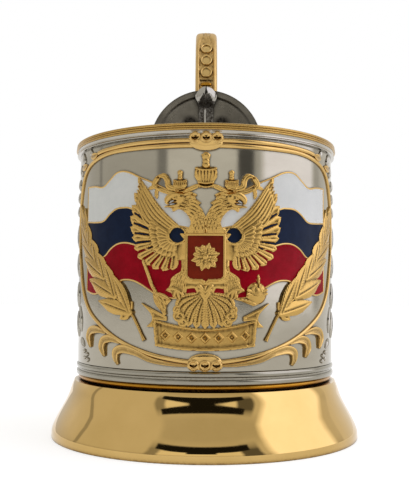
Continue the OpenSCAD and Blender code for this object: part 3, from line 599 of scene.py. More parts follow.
def mixed(tree, factor, *colours):
    """A colour between two, each a colour or a socket."""
    node = add_node(tree, "ShaderNodeMix", data_type="RGBA", Factor=factor)
    for value, socket in zip(colours, [i for i in node.inputs if i.type == "RGBA"]):
        feed(tree, socket, value + (1.0,) if isinstance(value, tuple) else value)
    return [o for o in node.outputs if o.type == "RGBA"][0]


def combined(tree, kind, *parts, **values):
    """The output of a node whose inputs take the parts in their order."""
    node = add_node(tree, kind, **values)
    for part, socket in zip(parts, node.inputs):
        feed(tree, socket, part)
    return node.outputs[0]


def maths(tree, operation, *values):
    return combined(tree, "ShaderNodeMath", *values, operation=operation)


def product(tree, *values):
    out = values[0]
    for value in values[1:]:
        out = maths(tree, "MULTIPLY", out, value)
    return out


def bump(tree, height, strength, distance):
    node = add_node(tree, "ShaderNodeBump", Strength=strength, Distance=distance, Height=height)
    return node.outputs["Normal"]


IOR = 1.5
# Noise scales, in turns per metre
BROAD, SMUDGE, FLECK, GRAIN = 90, 260, 1500, 2600.0


def metal(name, bright, worn, dark, rough, patina_and_shade=(-0.02, -0.14), grain=0.00002, grain_scale=GRAIN,
          shade_reach=0.0, stretch=(1, 1, 1)):
    """Plated metal: bright where it is raised and rubbed, dark and dull in the recesses, where the darkening
    is partly tarnish and partly painted shade. An ambient occlusion term, when given a reach, adds painted
    shade near other surfaces.
    """
    material, tree, shader = new_material(name)
    colour = mixed(tree, span(tree, noise(tree, BROAD, 5, 0.6, stretch), 0.25, 0.75), bright, worn)
    raised = add_node(tree, "ShaderNodeAttribute", attribute_name="raised").outputs["Fac"]
    sunk = span(tree, raised, *patina_and_shade)
    if shade_reach:
        # Painted shade: ambient occlusion darkens the colour near other surfaces
        near = add_node(tree, "ShaderNodeAmbientOcclusion", samples=8, Distance=shade_reach).outputs["AO"]
        sunk = maths(tree, "MAXIMUM", sunk, span(tree, near, 0.95, 0.45))
    sunk = product(tree, sunk, span(tree, noise(tree, FLECK, 3), 0.35, 0.65, 0.6, 1.0))
    smudge = span(tree, noise(tree, SMUDGE, 6, 0.6), 0.3, 0.7, rough * 0.8, rough * 1.25)
    fill(tree, shader, Metallic=1.0, IOR=IOR, Base_Color=mixed(tree, sunk, colour, dark),
         Roughness=maths(tree, "ADD", smudge, product(tree, sunk, 0.35)),
         Normal=bump(tree, noise(tree, grain_scale, 3, 0.5, stretch), 1.0, grain))
    return material


def enamel(name, colour, deep):
    """Fired glass enamel, a little uneven in depth, under its own gloss."""
    material, tree, shader = new_material(name)
    rough = 0.16
    tone = mixed(tree, span(tree, noise(tree, 220, 6, 0.7), 0.3, 0.7), colour, deep)
    fine = mixed(tree, span(tree, noise(tree, 3200, 2), 0.3, 0.7, 0.0, 0.35), tone, deep)
    gloss = span(tree, noise(tree, 700, 4), 0.3, 0.7, rough * 0.7, rough * 1.4)
    fill(tree, shader, Base_Color=fine, IOR=IOR, Roughness=gloss, Specular_IOR_Level=0.05,
         Normal=bump(tree, noise(tree, 420, 3), 0.6, 0.00004))
    return material


# A reach for ambient occlusion darkens a material with painted shade near other surfaces
GOLD = metal("satin_gold", (0.55, 0.35, 0.105), (0.44, 0.27, 0.075), (0.045, 0.022, 0.006), 0.19,
             patina_and_shade=(0.03, -0.1), grain=0.000014)
GOLD_BAND = metal("band_gold", (0.6, 0.4, 0.145), (0.51, 0.325, 0.108), (0.09, 0.045, 0.012), 0.16,
                  grain=0.000008)
GOLD_HANDLE = metal("handle_gold", (0.6, 0.4, 0.15), (0.46, 0.29, 0.095), (0.05, 0.024, 0.006), 0.4,
                    patina_and_shade=(0.04, -0.2), grain=0.000012, shade_reach=0.0005)
GOLD_RING = metal("ring_gold", (0.66, 0.46, 0.18), (0.58, 0.38, 0.13), (0.05, 0.024, 0.006), 0.12,
                  grain=0.000004, shade_reach=0.0006)
GOLD_POLISHED = metal("polished_gold", (0.59, 0.395, 0.145), (0.53, 0.35, 0.12), (0.1, 0.05, 0.012), 0.045,
                      grain=0.000002, grain_scale=600, shade_reach=0.0012)
# Dark gold: painted shade of the gap above the foot on the neck; the handle's stud uses it too
GOLD_NECK = metal("neck_gold", (0.42, 0.2, 0.02), (0.3, 0.14, 0.015), (0.012, 0.006, 0.002), 0.2)
NICKEL = metal("satin_nickel", (0.36, 0.33, 0.262), (0.32, 0.29, 0.228), (0.09, 0.08, 0.06), 0.09,
               grain=0.000004, shade_reach=0.0006, stretch=(1, 1, 3))
NICKEL_TRIM = metal("trim_nickel", (0.3, 0.28, 0.225), (0.25, 0.23, 0.185), (0.06, 0.05, 0.04), 0.13,
                    grain=0.000005)
NICKEL_DARK = metal("dark_nickel", (0.17, 0.155, 0.125), (0.07, 0.062, 0.048), (0.012, 0.01, 0.008), 0.3,
                    grain=0.00006, grain_scale=3000, shade_reach=0.002)
NICKEL_LEAF = metal("leaf_nickel", (0.42, 0.4, 0.36), (0.3, 0.28, 0.24), (0.03, 0.024, 0.018), 0.14,
                    grain=0.00002, patina_and_shade=(0.0, -0.25))
NICKEL_BRIGHT = metal("bright_nickel", (0.44, 0.41, 0.35), (0.36, 0.335, 0.285), (0.08, 0.07, 0.06), 0.14,
                      grain=0.000008)
STEEL = metal("bright_steel", (0.5, 0.5, 0.5), (0.42, 0.42, 0.42), (0.1, 0.1, 0.1), 0.3, shade_reach=0.001)
WHITE = enamel("white_enamel", (0.8, 0.805, 0.77), (0.72, 0.73, 0.7))
BLUE = enamel("blue_enamel", (0.012, 0.022, 0.055), (0.007, 0.013, 0.034))
RED = enamel("red_enamel", (0.4, 0.004, 0.016), (0.23, 0.002, 0.007))
BROWN_RED = enamel("brown_red_enamel", (0.24, 0.022, 0.006), (0.15, 0.013, 0.004))

# Turned pieces: foot, neck, plate, mouldings, sleeve and rim

FINE = 320  # segments of a large ring

# Height and degrees by which the foot's side leans in there
LEAN = [
    (0.35, 1), (2.0, 5), (2.6, 19.2), (3.9, 24.4), (6, 29), (8.5, 30), (10.4, 25.6), (11.5, 22.4),
    (12.2, 19.8), (12.7, 18), (13.2, 17.1), (13.6, 17.8), (14.0, 19.2), (14.8, 23.2), (15.4, 27), (15.7, 30)
]


def foot():
    wall, top_r, steps = 1.4, 37.0, 60
    foot_r, height = foot_high[0], foot_high[2]
    z = np.linspace(LEAN[0][0], LEAN[-1][0], steps)
    slope = np.tan(np.radians(np.interp(z, *zip(*LEAN))))
    fall = np.concatenate([[0], np.cumsum((slope[1:] + slope[:-1]) / 2 * np.diff(z))])
    side = np.stack([foot_r - (foot_r - top_r) * fall / fall[-1], z], 1)
    outer = [(foot_r - 0.3, 0), (foot_r - 0.06, 0.1)] + side.tolist() + [(top_r - 0.8, height)]
    profile = [(SCREW_R, height), (SCREW_R, height - wall), (top_r - 3.2, height - wall)]
    profile += [(r - wall, max(z - 0.6, 0)) for r, z in outer[::-6] if z < height - wall]
    profile += [(foot_r - wall, 0)] + outer
    finish_piece(turned("foot_shell", profile, FINE), GOLD_POLISHED, "foot")


def neck():
    """A lip under the seat plate, over a dark groove. The groove's darkest colour and the neck's dark gold
    are painted shade of the gap above the foot.
    """
    r, z0, z1 = neck_high[0] - 0.7, neck_low[2], neck_high[2]
    profile = [(r - 4, z0), (r - 1.4, z0), (r - 1.4, z1 - 1.3), (r - 0.3, z1 - 1.25)]
    profile += arc((r + 0.1, z1 - 0.62), 0.62, -80, 90, 10)
    profile += [(r - 4, z1)]
    # Painted shade: the groove's points take the darkest value
    wear_and_shade = [-1] * 4 + [-0.1] + [0.1] * (len(profile) - 5)
    finish_piece(turned("neck_lip", profile, wear_and_shade=wear_and_shade), GOLD_NECK, "neck_ring")


def lower_trim():
    z0, z1, r = plate_low[2], plate_high[2], plate_high[0]
    edge = 0.4
    profile = [(SCREW_R, z0), (r - edge, z0)] + arc((r - edge, z0 + edge), edge, -90, 0, 5)
    profile += arc((r - edge, z1 - edge), edge, 0, 90, 5) + [(SCREW_R, z1)]
    finish_piece(turned("seat_plate", profile), NICKEL_TRIM, "under_plate")
    z0, z1, r = moulding_low[2], moulding_high[2], moulding_high[0]
    middle, half = (z0 + z1) / 2, (z1 - z0) / 2
    profile = [(body_r - 1, z0), (r - half, z0)] + arc((r - half, middle), half, -86, 86, 14)
    profile += [(r - half, z1), (body_r - 1, z1)]
    finish_piece(turned("half_round_moulding", profile), NICKEL_TRIM, "lower_moulding")


def sleeve():
    z0, z1, seat = sleeve_low[2], sleeve_high[2], moulding_high[2]
    floor, inset, fillet = z0 + 1.6, 0.25, 2
    profile = [(SCREW_R, z0), (body_r - inset, z0), (body_r - inset, seat - 0.02), (body_r, seat)]
    profile += [(body_r, z) for z in np.linspace(seat + 1, z1 - 1, 8)] + [(body_r, z1)]
    profile += [(bore_r, z1)] + [(bore_r, z) for z in np.linspace(z1 - 1, floor + 3, 6)]
    profile += arc((bore_r - fillet, floor + fillet), fillet, 0, -90, 8)
    profile += [(r, floor) for r in np.linspace(bore_r - 3, 5, 4)] + [(3.5, floor), (SCREW_R, floor - 1.4)]
    finish_piece(turned("sleeve_body", profile, FINE), NICKEL, "sleeve")


def rim():
    z0, z1, r = rim_low[2], rim_high[2], rim_high[0]
    h = z1 - z0
    ribs = []
    for low, high, out in ((0.0, 0.3, 0.0), (0.3, 0.56, 0.06), (0.56, 1.0, 0.16)):
        half = (high - low) * h / 2
        ribs += arc((r - out - half * 0.8, z0 + (low + high) / 2 * h), half * 0.98, -80, 80, 8)
    profile = [(body_r, z0), (r - 0.6, z0)] + ribs + [(body_r - 0.2, z1), (bore_r + 0.2, z1 - 0.1)]
    profile += [(bore_r, z1 - 0.35), (bore_r, sleeve_high[2]), (body_r, sleeve_high[2])]
    finish_piece(turned("rim_ring", profile, FINE), GOLD, "rim")
    z0, z1, r = cove_low[2], cove_high[2], cove_high[0]
    profile = [(body_r, z0)] + arc((r - 0.16, z0 + 0.2), 0.16, -90, 60, 4)
    profile += arc((r + 0.22, (z0 + z1) / 2 + 0.1), (z1 - z0) * 0.42, 240, 130, 8)
    profile += [(r - 0.1, z1), (body_r, z1)]
    finish_piece(turned("cove_ring", profile, FINE), NICKEL_BRIGHT, "cove")


# Bars on the wall: smooth meshes swept along a path

def strip(path, width, shape, section, closed=False):
    """Vertices, faces and rub values of a bar, whose low values darken it with tarnish and painted shade.
    section holds (across, height, rub value) from side to side; where the bar is narrower it is lower too."""
    low = 0.1
    run = np.concatenate([[0], np.cumsum(np.hypot(*(np.roll(path, -1, 0) - path).T))])
    share = run[:-1] / run[-1 if closed else -2]
    part = np.interp(share, *shape)
    way = np.roll(path, -1, 0) - np.roll(path, 1, 0) if closed else np.gradient(path, axis=0)
    way /= np.hypot(*way.T)[:, None]
    section = np.array([(-1, -SINK, -0.1), *section, (1, -SINK, -0.1)], float)
    n, m = len(path), len(section)
    across = np.outer(part * width / 2, section[:, 0])
    level = low + np.outer(part**0.6, section[:, 1] - low)
    level[:, 0] = level[:, -1] = -SINK
    vertices = wrapped(path[:, :1] - way[:, 1:] * across, level, path[:, 1:] + way[:, :1] * across)
    faces = grid_faces(n, m, closed, True) + ([] if closed else end_faces(n, m))
    return vertices.reshape(-1, 3), [face[::-1] for face in faces], np.tile(section[:, 2], n)


def gathered(name, parts):
    """Several bars as one mesh."""
    vertices, faces, wear_and_shade = zip(*parts)
    starts = np.cumsum([0] + [len(v) for v in vertices])
    faces = [[start + i for i in face] for start, part in zip(starts.tolist(), faces) for face in part]
    return add_mesh(name, np.concatenate(vertices), faces, 60, np.concatenate(wear_and_shade))


def symmetrical(half_section):
    return half_section + mirrored(half_section[::-1])


ROUND = symmetrical([(-0.97, 0.3, -0.05), (-0.8, 0.46, 0), (-0.5, 0.57, 0.1), (-0.15, 0.62, 0.1)])
HOLLOW = symmetrical([
    (-0.98, 0.62, -0.05), (-0.86, 0.9, 0.1), (-0.66, 0.95, 0.1), (-0.48, 0.8, -0.05), (-0.2, 0.66, -0.08)
])
VEINED_HALF = [(-0.98, 0.25, -0.1), (-0.7, 0.48, 0.05), (-0.25, 0.52, 0), (-0.08, 0.46, -0.1)]
VEINED = VEINED_HALF + [(0, 0.62, 0.1)] + mirrored(VEINED_HALF[::-1])


def lower(section, share, wear_and_shade=None):
    return [(a, h * share, w if wear_and_shade is None else wear_and_shade) for a, h, w in section]


# The flag

OUTER_LOOP = [
    (0.14, 0.325), (0.184, 0.342), (0.193, 0.375), (0.209, 0.396), (0.235, 0.396), (0.255, 0.375),
    (0.262, 0.353), (0.243, 0.334), (0.2, 0.318), (0.14, 0.304)
]
TOP_WAVE = [
    (0.762, 0.382), (0.68, 0.378), (0.604, 0.367), (0.546, 0.398), (0.5, 0.428), (0.456, 0.435),
    (0.406, 0.424), (0.346, 0.396), (0.282, 0.37), (0.176, 0.32), (0.06, 0.27)
]
UPPER_WAVE = [
    (0.762, 0.196), (0.67, 0.188), (0.596, 0.19), (0.542, 0.224), (0.496, 0.246), (0.444, 0.25),
    (0.392, 0.241), (0.24, 0.176), (0.16, 0.154), (0.05, 0.132)
]
LOWER_WAVE = [
    (0.762, 0.024), (0.69, 0.006), (0.62, 0), (0.578, 0.01), (0.534, 0.044), (0.488, 0.066),
    (0.438, 0.072), (0.38, 0.062), (0.26, 0.024), (0.16, 0.004), (0.05, 0)
]
BOTTOM_WAVE = [
    (0.762, -0.168), (0.67, -0.186), (0.56, -0.156), (0.466, -0.12), (0.42, -0.114), (0.376, -0.12),
    (0.33, -0.139), (0.28, -0.168), (0.24, -0.19), (0.19, -0.202), (0.13, -0.204), (0.02, -0.196)
]
LINE_W = 0.55


def flag():
    waves = [wall_path(w, 5) for w in (TOP_WAVE, UPPER_WAVE, LOWER_WAVE, BOTTOM_WAVE)]
    for (colour, material), upper, under in zip(
        (("white", WHITE), ("blue", BLUE), ("red", RED)), waves[:-1], waves[1:]
    ):
        relief = Relief((0.0, -0.25), (0.78, 0.46), 0.42)
        view, inside = relief.within(np.concatenate([upper, under[::-1]]))
        meniscus = 0.08 * np.exp(-np.clip(inside - LINE_W / 2, 0, -OUTSIDE) / 0.35)
        relief.lay(view, inside, 0.32 + meniscus)
        if material == WHITE:
            relief.remove(*relief.within(wall_outline(OUTER_LOOP)))
        piece = skin(colour + "_field", relief.both_sides())
        finish_piece(piece, material, "enamel_" + colour)
    waves.append(np.linspace(waves[0][0], waves[-1][0], 12))
    section = lower(ROUND, 0.82)
    wires = [strip(wave * flip, LINE_W, CORD, section) for wave in waves for flip in ((1, 1), (-1, 1))]
    finish_piece(gathered("enamel_wires", wires), GOLD_BAND, "enamel_lines")


# The eagle

HUB = (0.15, 0.085)
FEATHER_TIPS = [
    (0.35, 0.394), (0.371, 0.318), (0.385, 0.256), (0.393, 0.201), (0.391, 0.148), (0.381, 0.095),
    (0.368, 0.042), (0.348, -0.004), (0.31, -0.036), (0.262, -0.06), (0.21, -0.07), (0.163, -0.066)
]
FEATHER_WIDTHS = [1.8, 2.6, 3, 3, 3, 3, 3, 3, 3, 3, 3, 2.6]
WING_ARM = [
    (0.346, 0.39, 1), (0.318, 0.35), (0.297, 0.308), (0.26, 0.256), (0.21, 0.2), (0.166, 0.156),
    (0.12, 0.13), (0.06, 0.11, 1), (0.06, -0.02, 1), (0.118, -0.02, 1), (0.18, -0.01), (0.25, 0.06),
    (0.3, 0.16), (0.34, 0.31)
]
WING_EYE = (0.138, 0.102)
NECK = [
    (0, 0.11, 1), (0, 0.19, 1), (0.018, 0.228), (0.036, 0.25, 1), (0.022, 0.26, 1), (0.052, 0.284),
    (0.042, 0.3, 1), (0.077, 0.314), (0.118, 0.317), (0.164, 0.31), (0.191, 0.29), (0.198, 0.266),
    (0.194, 0.254, 1), (0.172, 0.26, 1), (0.206, 0.243, 1), (0.172, 0.236), (0.16, 0.217, 1),
    (0.135, 0.23), (0.105, 0.218), (0.081, 0.188), (0.073, 0.158), (0.09, 0.126), (0.127, 0.11, 1)
]
LEG = [
    (0, 0.02, 1), (0.118, -0.02, 1), (0.118, -0.07), (0.142, -0.088), (0.167, -0.11), (0.173, -0.143),
    (0.193, -0.17, 1), (0.169, -0.179), (0.153, -0.202, 1), (0.127, -0.21, 1), (0.104, -0.2, 1),
    (0.094, -0.178), (0.086, -0.15), (0.056, -0.145), (0.036, -0.17), (0.032, -0.193, 1), (0, -0.2, 1)
]
TAIL_ROOT = (0, -0.18)
TAIL_TIPS = [(0, -0.35), (0.043, -0.346), (0.083, -0.338), (0.119, -0.321), (0.142, -0.297), (0.137, -0.25)]


def wing(relief):
    plate(relief, WING_ARM, 0.3, 0.3, 1.6)
    for i, (tip, width) in enumerate(zip(FEATHER_TIPS, FEATHER_WIDTHS)):
        middle = toward(HUB, tip, 0.62)
        lean = 0.012 if i < 5 else -0.002
        path = wall_path([toward(HUB, tip, 0.25), (middle[0] + lean, middle[1] - lean), tip])
        blade(relief, path, width, PETAL, 0.38, 0.42, slit=0.3, barb=0.04)
    # Dark gaps between the long feathers
    for a, b in zip(FEATHER_TIPS[:-1], FEATHER_TIPS[1:]):
        path = wall_path([toward(HUB, toward(a, b, 0.5), t) for t in (0.5, 0.72, 0.93)], 3)
        engrave(relief, path, 0.5, 0.5, GAP, 0.1)
    # Two rows of round coverts near the wing's eye
    tips = curve(FEATHER_TIPS[2:], 10)
    for reach, count, width, base in ((0.56, 10, 2.0, 0.62), (0.4, 8, 1.65, 0.8)):
        for k in range(count):
            tip = tips[int((k + 0.5) / count * (len(tips) - 1))]
            path = on_wall([toward(HUB, tip, max(0.12, reach - 0.26)), toward(HUB, tip, reach)])
            blade(relief, path, width, SCALE, base, 0.34, slit=0.16)
    # The leading edge: long thin feathers that run up to the wing's tip
    for k in range(6):
        start = (0.112 + 0.016 * k, 0.124 - 0.004 * k)
        end = toward((0.34, 0.386), (0.366, 0.3), k / 5)
        middle = toward(start, end, 0.5)
        path = wall_path([start, (middle[0] + 0.006 + 0.004 * k, middle[1] - 0.024), end], 8)
        blade(relief, path, 1.25, BLADE, 0.74 - 0.04 * k, 0.34, slit=0.24)


def neck_and_head(relief):
    clip = relief.clip(plate(relief, NECK, 0.4, 0.4, 2.2))
    path = wall_path(
        [(0.118, 0.262), (0.086, 0.25), (0.056, 0.222), (0.042, 0.184), (0.044, 0.14), (0.052, 0.1)], 8
    )
    plumage(relief, path, 6, 1.6, 3.4, 0.9, 0.58, 0.5, clip)
    # Head, beak, tongue, eye and the spikes of the nape
    ball(relief, (0.132, 0.282), 1.7, 0.5, 0.72, 0.95)
    strokes(
        relief,
        ([(0.128, 0.3), (0.162, 0.301), (0.186, 0.288), (0.196, 0.272), (0.194, 0.256)], 6,
         1.5, BEAK, 0.78, 0.42),
        ([(0.132, 0.252), (0.16, 0.247), (0.184, 0.244), (0.206, 0.243)], 5,
         0.85, TONGUE, 0.6, 0.36)
    )
    engrave(relief, wall_path([(0.146, 0.272), (0.166, 0.272), (0.184, 0.262)], 4), 0.5, 0.55)
    engrave(relief, wall_path([(0.142, 0.259), (0.164, 0.256), (0.184, 0.253)], 4), 0.4, 0.45)
    ball(relief, (0.153, 0.287), 0.5, 0.95, 0.35)
    engrave(relief, on_wall([(0.1525, 0.287), (0.1535, 0.287)]), 0.34, 0.4, CORD)
    for spike in (
        [(0.098, 0.304), (0.072, 0.307), (0.044, 0.3)], [(0.09, 0.29), (0.066, 0.29), (0.05, 0.284)],
        [(0.08, 0.274), (0.05, 0.268), (0.022, 0.26)], [(0.074, 0.258), (0.054, 0.254), (0.036, 0.25)]
    ):
        blade(relief, wall_path(spike, 5), 0.85, SPIKE, 0.68, 0.36, slit=0.14)
    strokes(
        relief,
        ([(0.148, 0.238), (0.16, 0.23), (0.16, 0.217)], 4, 0.7, LEAF, 0.5, 0.3),
        ([(0.084, 0.136), (0.104, 0.124), (0.124, 0.112)], 4, 0.7, BLADE, 0.5, 0.3)
    )


def leg(relief):
    clip = relief.clip(plate(relief, LEG, 0.36, 0.44, 2.0))
    path = wall_path([(0.112, -0.06), (0.128, -0.1), (0.138, -0.135), (0.138, -0.165)])
    plumage(relief, path, 5, 1.25, 2.3, 0.9, 0.62, 0.32, clip, flare=0.12)
    ankle = (0.14, -0.162)
    for claw in ((0.193, -0.17), (0.155, -0.203), (0.128, -0.21), (0.104, -0.2)):
        bend = toward(ankle, claw, 0.55)
        path = wall_path([ankle, (bend[0], bend[1] + 0.008), claw], 5)
        blade(relief, path, 0.9, CLAW, 0.62, 0.42)
    blade(relief, wall_path([(0.034, -0.17), (0.05, -0.148), (0.086, -0.15)], 5), 0.85, CORD, 0.5, 0.35)


def tail(relief):
    for i, tip in reversed(list(enumerate(TAIL_TIPS))):
        middle = toward(TAIL_ROOT, tip, 0.55)
        bow = 0.006 * i
        path = wall_path([TAIL_ROOT, (middle[0] + bow, middle[1] + bow * 0.5), tip])
        blade(relief, path, 2.0, VANE, 0.46 + 0.04 * (5 - i), 0.4, slit=0.32, barb=0.07, pitch=0.6)
    # Scrolls at the fan's corners
    t = np.linspace(0, 1, 26)
    for middle, radius, start, turns in (
        ((0.124, -0.29), 1.5, 60, -1.3), ((0.106, -0.318), 1.15, 20, -1.2), ((0.136, -0.262), 0.95, 100, -1.1)
    ):
        turn = np.radians(start) + turns * TURN * t
        r = radius * (1 - 0.8 * t)
        spiral = on_wall([middle]) + np.stack([r * np.cos(turn), r * np.sin(turn)], 1)
        blade(relief, spiral, 0.7, SCROLL, 0.7, 0.36)
    for z0, spread in ((-0.146, 0.03), (-0.164, 0.024), (-0.182, 0.018)):
        blade(relief, on_wall([(0, z0 - 0.03), (spread, z0)]), 0.7, CORD, 0.85, 0.3)
    shaft = on_wall([(0.0, -0.15), (0.0, -0.35)])
    blade(relief, shaft, 0.95, SHAFT, 0.8, 0.3, slit=0.14)


def eagle():
    relief = Relief((0.0, -0.4), (0.43, 0.42), 0.155)
    for part in (wing, leg, tail, neck_and_head):
        part(relief)
    centre = on_wall([WING_EYE])[0]
    view, s, z = relief.window(np.array([centre]), 2.5)
    ear = polygon_inside(wall_outline(SHIELD_EAR), s, z)
    relief.remove(view, np.minimum(1.95 - np.hypot(s - centre[0], z - centre[1]), -ear))
    blade(relief, np.array(arc(centre, 2.1, 20, 330, 30)), 0.5, CORD, 0.6, 0.34)
    relief.remove(..., polygon_inside(wall_outline(SHIELD), *np.meshgrid(relief.s, relief.z)))
    gilded("eagle_relief", relief.both_sides(), "eagle")


SHIELD = both([
    (0, 0.112, 1), (0.099, 0.112, 1), (0.099, -0.092), (0.09, -0.11), (0.07, -0.121), (0.02, -0.122, 1),
    (0, -0.14, 1)
])
SHIELD_EAR = [(0.09, 0.112, 1), (0.127, 0.11, 1), (0.112, 0.09), (0.09, 0.07, 1)]
SHIELD_FIELD = ((-0.11, -0.15), (0.11, 0.125))


def shield():
    outline = wall_outline(SHIELD)
    relief = Relief(*SHIELD_FIELD, FINE_GRID)
    view, inside = relief.within(outline)
    half = 0.31
    relief.lay(view, np.minimum(inside, 2 * half - inside), 0.7 + 0.4 * bead(inside, half, half))
    gilded("shield_edge", relief, "shield_rim")
    relief = Relief(*SHIELD_FIELD, 0.3)
    view, inside = relief.within(outline)
    relief.lay(view, inside - 0.3, np.full(inside.shape, 0.64))
    finish_piece(skin("shield_field", relief), BROWN_RED, "shield_enamel")
    relief = Relief((-0.09, -0.12), (0.09, 0.1), FINE_GRID)
    centre = on_wall([(0, -0.004)])[0]

    def spoke(turn):
        return np.array([math.cos(turn), math.sin(turn)])

    for k in range(12):
        way = spoke(TURN * (k + 0.5) / 12)
        reach, *looks = (3.0, 1.1, PETAL, 0.68) if k % 2 else (3.55, 1.75, LEAF, 0.62)
        blade(relief, np.array([centre + way * 0.7, centre + way * reach]), *looks, 0.42, slit=0.2, barb=0.04)
    for k in range(8):
        dot(relief, centre + spoke(TURN * k / 8) * 1.05, 0.6, 0.8, 0.4)
    dot(relief, centre, 1.5, 0.85, 0.45)
    gilded("shield_flower", relief, "shield_rosette")


# Crowns and their ribbons

CROWN_HALF = [
    (0, 0, 1), (0.037, 0, 1), (0.037, 0.02), (0.053, 0.06), (0.055, 0.08), (0.047, 0.1),
    (0.02, 0.105, 1), (0.017, 0.125), (0.018, 0.145), (0.024, 0.163, 1), (0, 0.167, 1)
]


def crown(relief, at, size):
    def place(points):
        return [(at[0] + p[0] * size, at[1] + p[1] * size) + tuple(p[2:]) for p in points]

    def line(tool, points, steps, width, *looks, **more):
        tool(relief, wall_path(place(points), steps), width * size, *looks, **more)

    plate(relief, place(both(CROWN_HALF)), 0.4, 0.45, 2.2 * size)
    for k in range(-3, 4):
        lean = k * 0.0155
        line(blade, [(lean * 0.66, 0.028), (lean, 0.055), (lean * 1.02, 0.086)], 4,
             0.85, BLADE, 0.76, 0.34, slit=0.1)
    for z in (0.006, 0.022):
        line(blade, [(-0.034, z + 0.004), (0, z - 0.002), (0.034, z + 0.004)], 5, 0.65, CORD, 0.85, 0.35)
    line(engrave, [(-0.034, 0.015), (0, 0.009), (0.034, 0.015)], 5, 0.4, 0.5)
    line(blade, [(-0.048, 0.093), (-0.02, 0.087), (0.02, 0.087), (0.048, 0.093)], 5, 0.6, CORD, 0.85, 0.38)
    line(engrave, [(-0.036, 0.101), (0, 0.098), (0.036, 0.101)], 5, 0.8, 0.9)
    line(blade, [(0, 0.108), (0, 0.146)], 2, 1.3, CORD, 0.72, 0.4)
    for x in (-0.0135, 0.0135):
        line(engrave, [(x, 0.112), (x, 0.144)], 2, 0.3, 0.4)
    for height, radius in ((0.11, 0.8), (0.13, 0.7), (0.155, 0.95)):
        ball(relief, place([(0, height)])[0], radius * size, 0.8, 0.42)


def crowns():
    relief = Relief((0.0, 0.3), (0.2, 0.52), FINE_GRID)
    crown(relief, (0, 0.336), 1.0)
    crown(relief, (0.127, 0.314), 0.62)
    gilded("three_crowns", relief.both_sides(), "crowns")
    relief = Relief((0.0, 0.26), (0.32, 0.43), 0.13)
    for path, width, base in (
        ([(0.034, 0.348), (0.068, 0.333), (0.108, 0.316)], 1.1, 0.45),
        (OUTER_LOOP[:5], 1.35, 0.55), (OUTER_LOOP[4:8], 1.2, 0.5), (OUTER_LOOP[7:], 1.0, 0.4),
        ([(0.256, 0.346), (0.272, 0.342), (0.289, 0.336)], 0.9, 0.45),
        ([(0.244, 0.336), (0.25, 0.312), (0.247, 0.289)], 0.95, 0.45)
    ):
        blade(relief, wall_path(path), width, BAND, base, 0.36, slit=0.14)
    engrave(relief, wall_path([(0.236, 0.388), (0.25, 0.392)], 3), 0.4, 0.4)
    gilded("crown_bands", relief.both_sides(), "crown_ribbons")


# Staff, orb and ribbon

STAFF_LINE = [(-0.314, -0.024), (-0.286, -0.092), (-0.267, -0.141), (-0.245, -0.18), (-0.2, -0.28)]
STAFF_HEAD = [
    (-0.261, -0.175, 1), (-0.219, -0.182), (-0.193, -0.204), (-0.166, -0.214, 1), (-0.191, -0.243),
    (-0.193, -0.286, 1), (-0.221, -0.267), (-0.247, -0.239), (-0.261, -0.205)
]
ORB = (0.257, -0.18)
ORB_FOOT = [(0.15, -0.207, 1), (0.2, -0.214), (0.235, -0.205, 1), (0.28, -0.205, 1), (0.244, -0.242, 1)]
ORB_FINIAL = [(0.26, -0.155, 1), (0.258, -0.11), (0.267, -0.086), (0.276, -0.11), (0.275, -0.155, 1)]


def staff_and_orb():
    relief = Relief((-0.33, -0.31), (-0.14, -0.01), FINE_GRID)
    plate(relief, STAFF_HEAD, 0.45, 0.4, 1.2)
    blade(relief, wall_path(STAFF_LINE), 0.85, CORD, 0.7, 0.35, slit=0.2)
    for lobe in (
        [(-0.255, -0.19), (-0.232, -0.225), (-0.198, -0.272)],
        [(-0.245, -0.184), (-0.214, -0.21), (-0.192, -0.245)],
        [(-0.238, -0.182), (-0.205, -0.196), (-0.172, -0.213)]
    ):
        blade(relief, wall_path(lobe, 5), 1.15, BLADE, 0.7, 0.36, slit=0.2)
    gilded("staff_relief", relief, "staff")

    relief = Relief((0.13, -0.26), (0.33, -0.07), FINE_GRID)
    plate(relief, ORB_FOOT, 0.4, 0.4, 1.0)
    plate(relief, ORB_FINIAL, 0.45, 0.4, 0.5)
    ball(relief, ORB, 2.7, 0.35, 0.95)
    for lift in (-0.006, 0.012):
        path = wall_path([(0.206, -0.176 + lift), (0.257, -0.188 + lift), (0.308, -0.174 + lift)])
        blade(relief, path, 0.42, CORD, 1.12, 0.18)
    for x in (0.236, 0.257, 0.278):
        path = wall_path([(0.257 + (x - 0.257) * 0.6, -0.138), (x, -0.158), (x, -0.17)], 4)
        blade(relief, path, 0.42, CORD, 1.1, 0.18)
    path = wall_path([(0.152, -0.208), (0.19, -0.214), (0.226, -0.222), (0.252, -0.234)])
    blade(relief, path, 0.8, TOE, 0.55, 0.4)
    engrave(relief, on_wall([(0.261, -0.148), (0.262, -0.1)]), 0.3, 0.5, CORD)
    gilded("orb_relief", relief, "orb")


RIBBON_FACE = both([
    (0, -0.351), (0.11, -0.34), (0.198, -0.323), (0.261, -0.307, 1), (0.248, -0.438, 1), (0.13, -0.453),
    (0, -0.458)
])
RIBBON_END = [
    (0.332, -0.225, 1), (0.291, -0.261), (0.269, -0.288), (0.267, -0.317), (0.296, -0.345, 1),
    (0.26, -0.346, 1), (0.261, -0.307, 1), (0.19, -0.316, 1), (0.19, -0.294, 1)
]


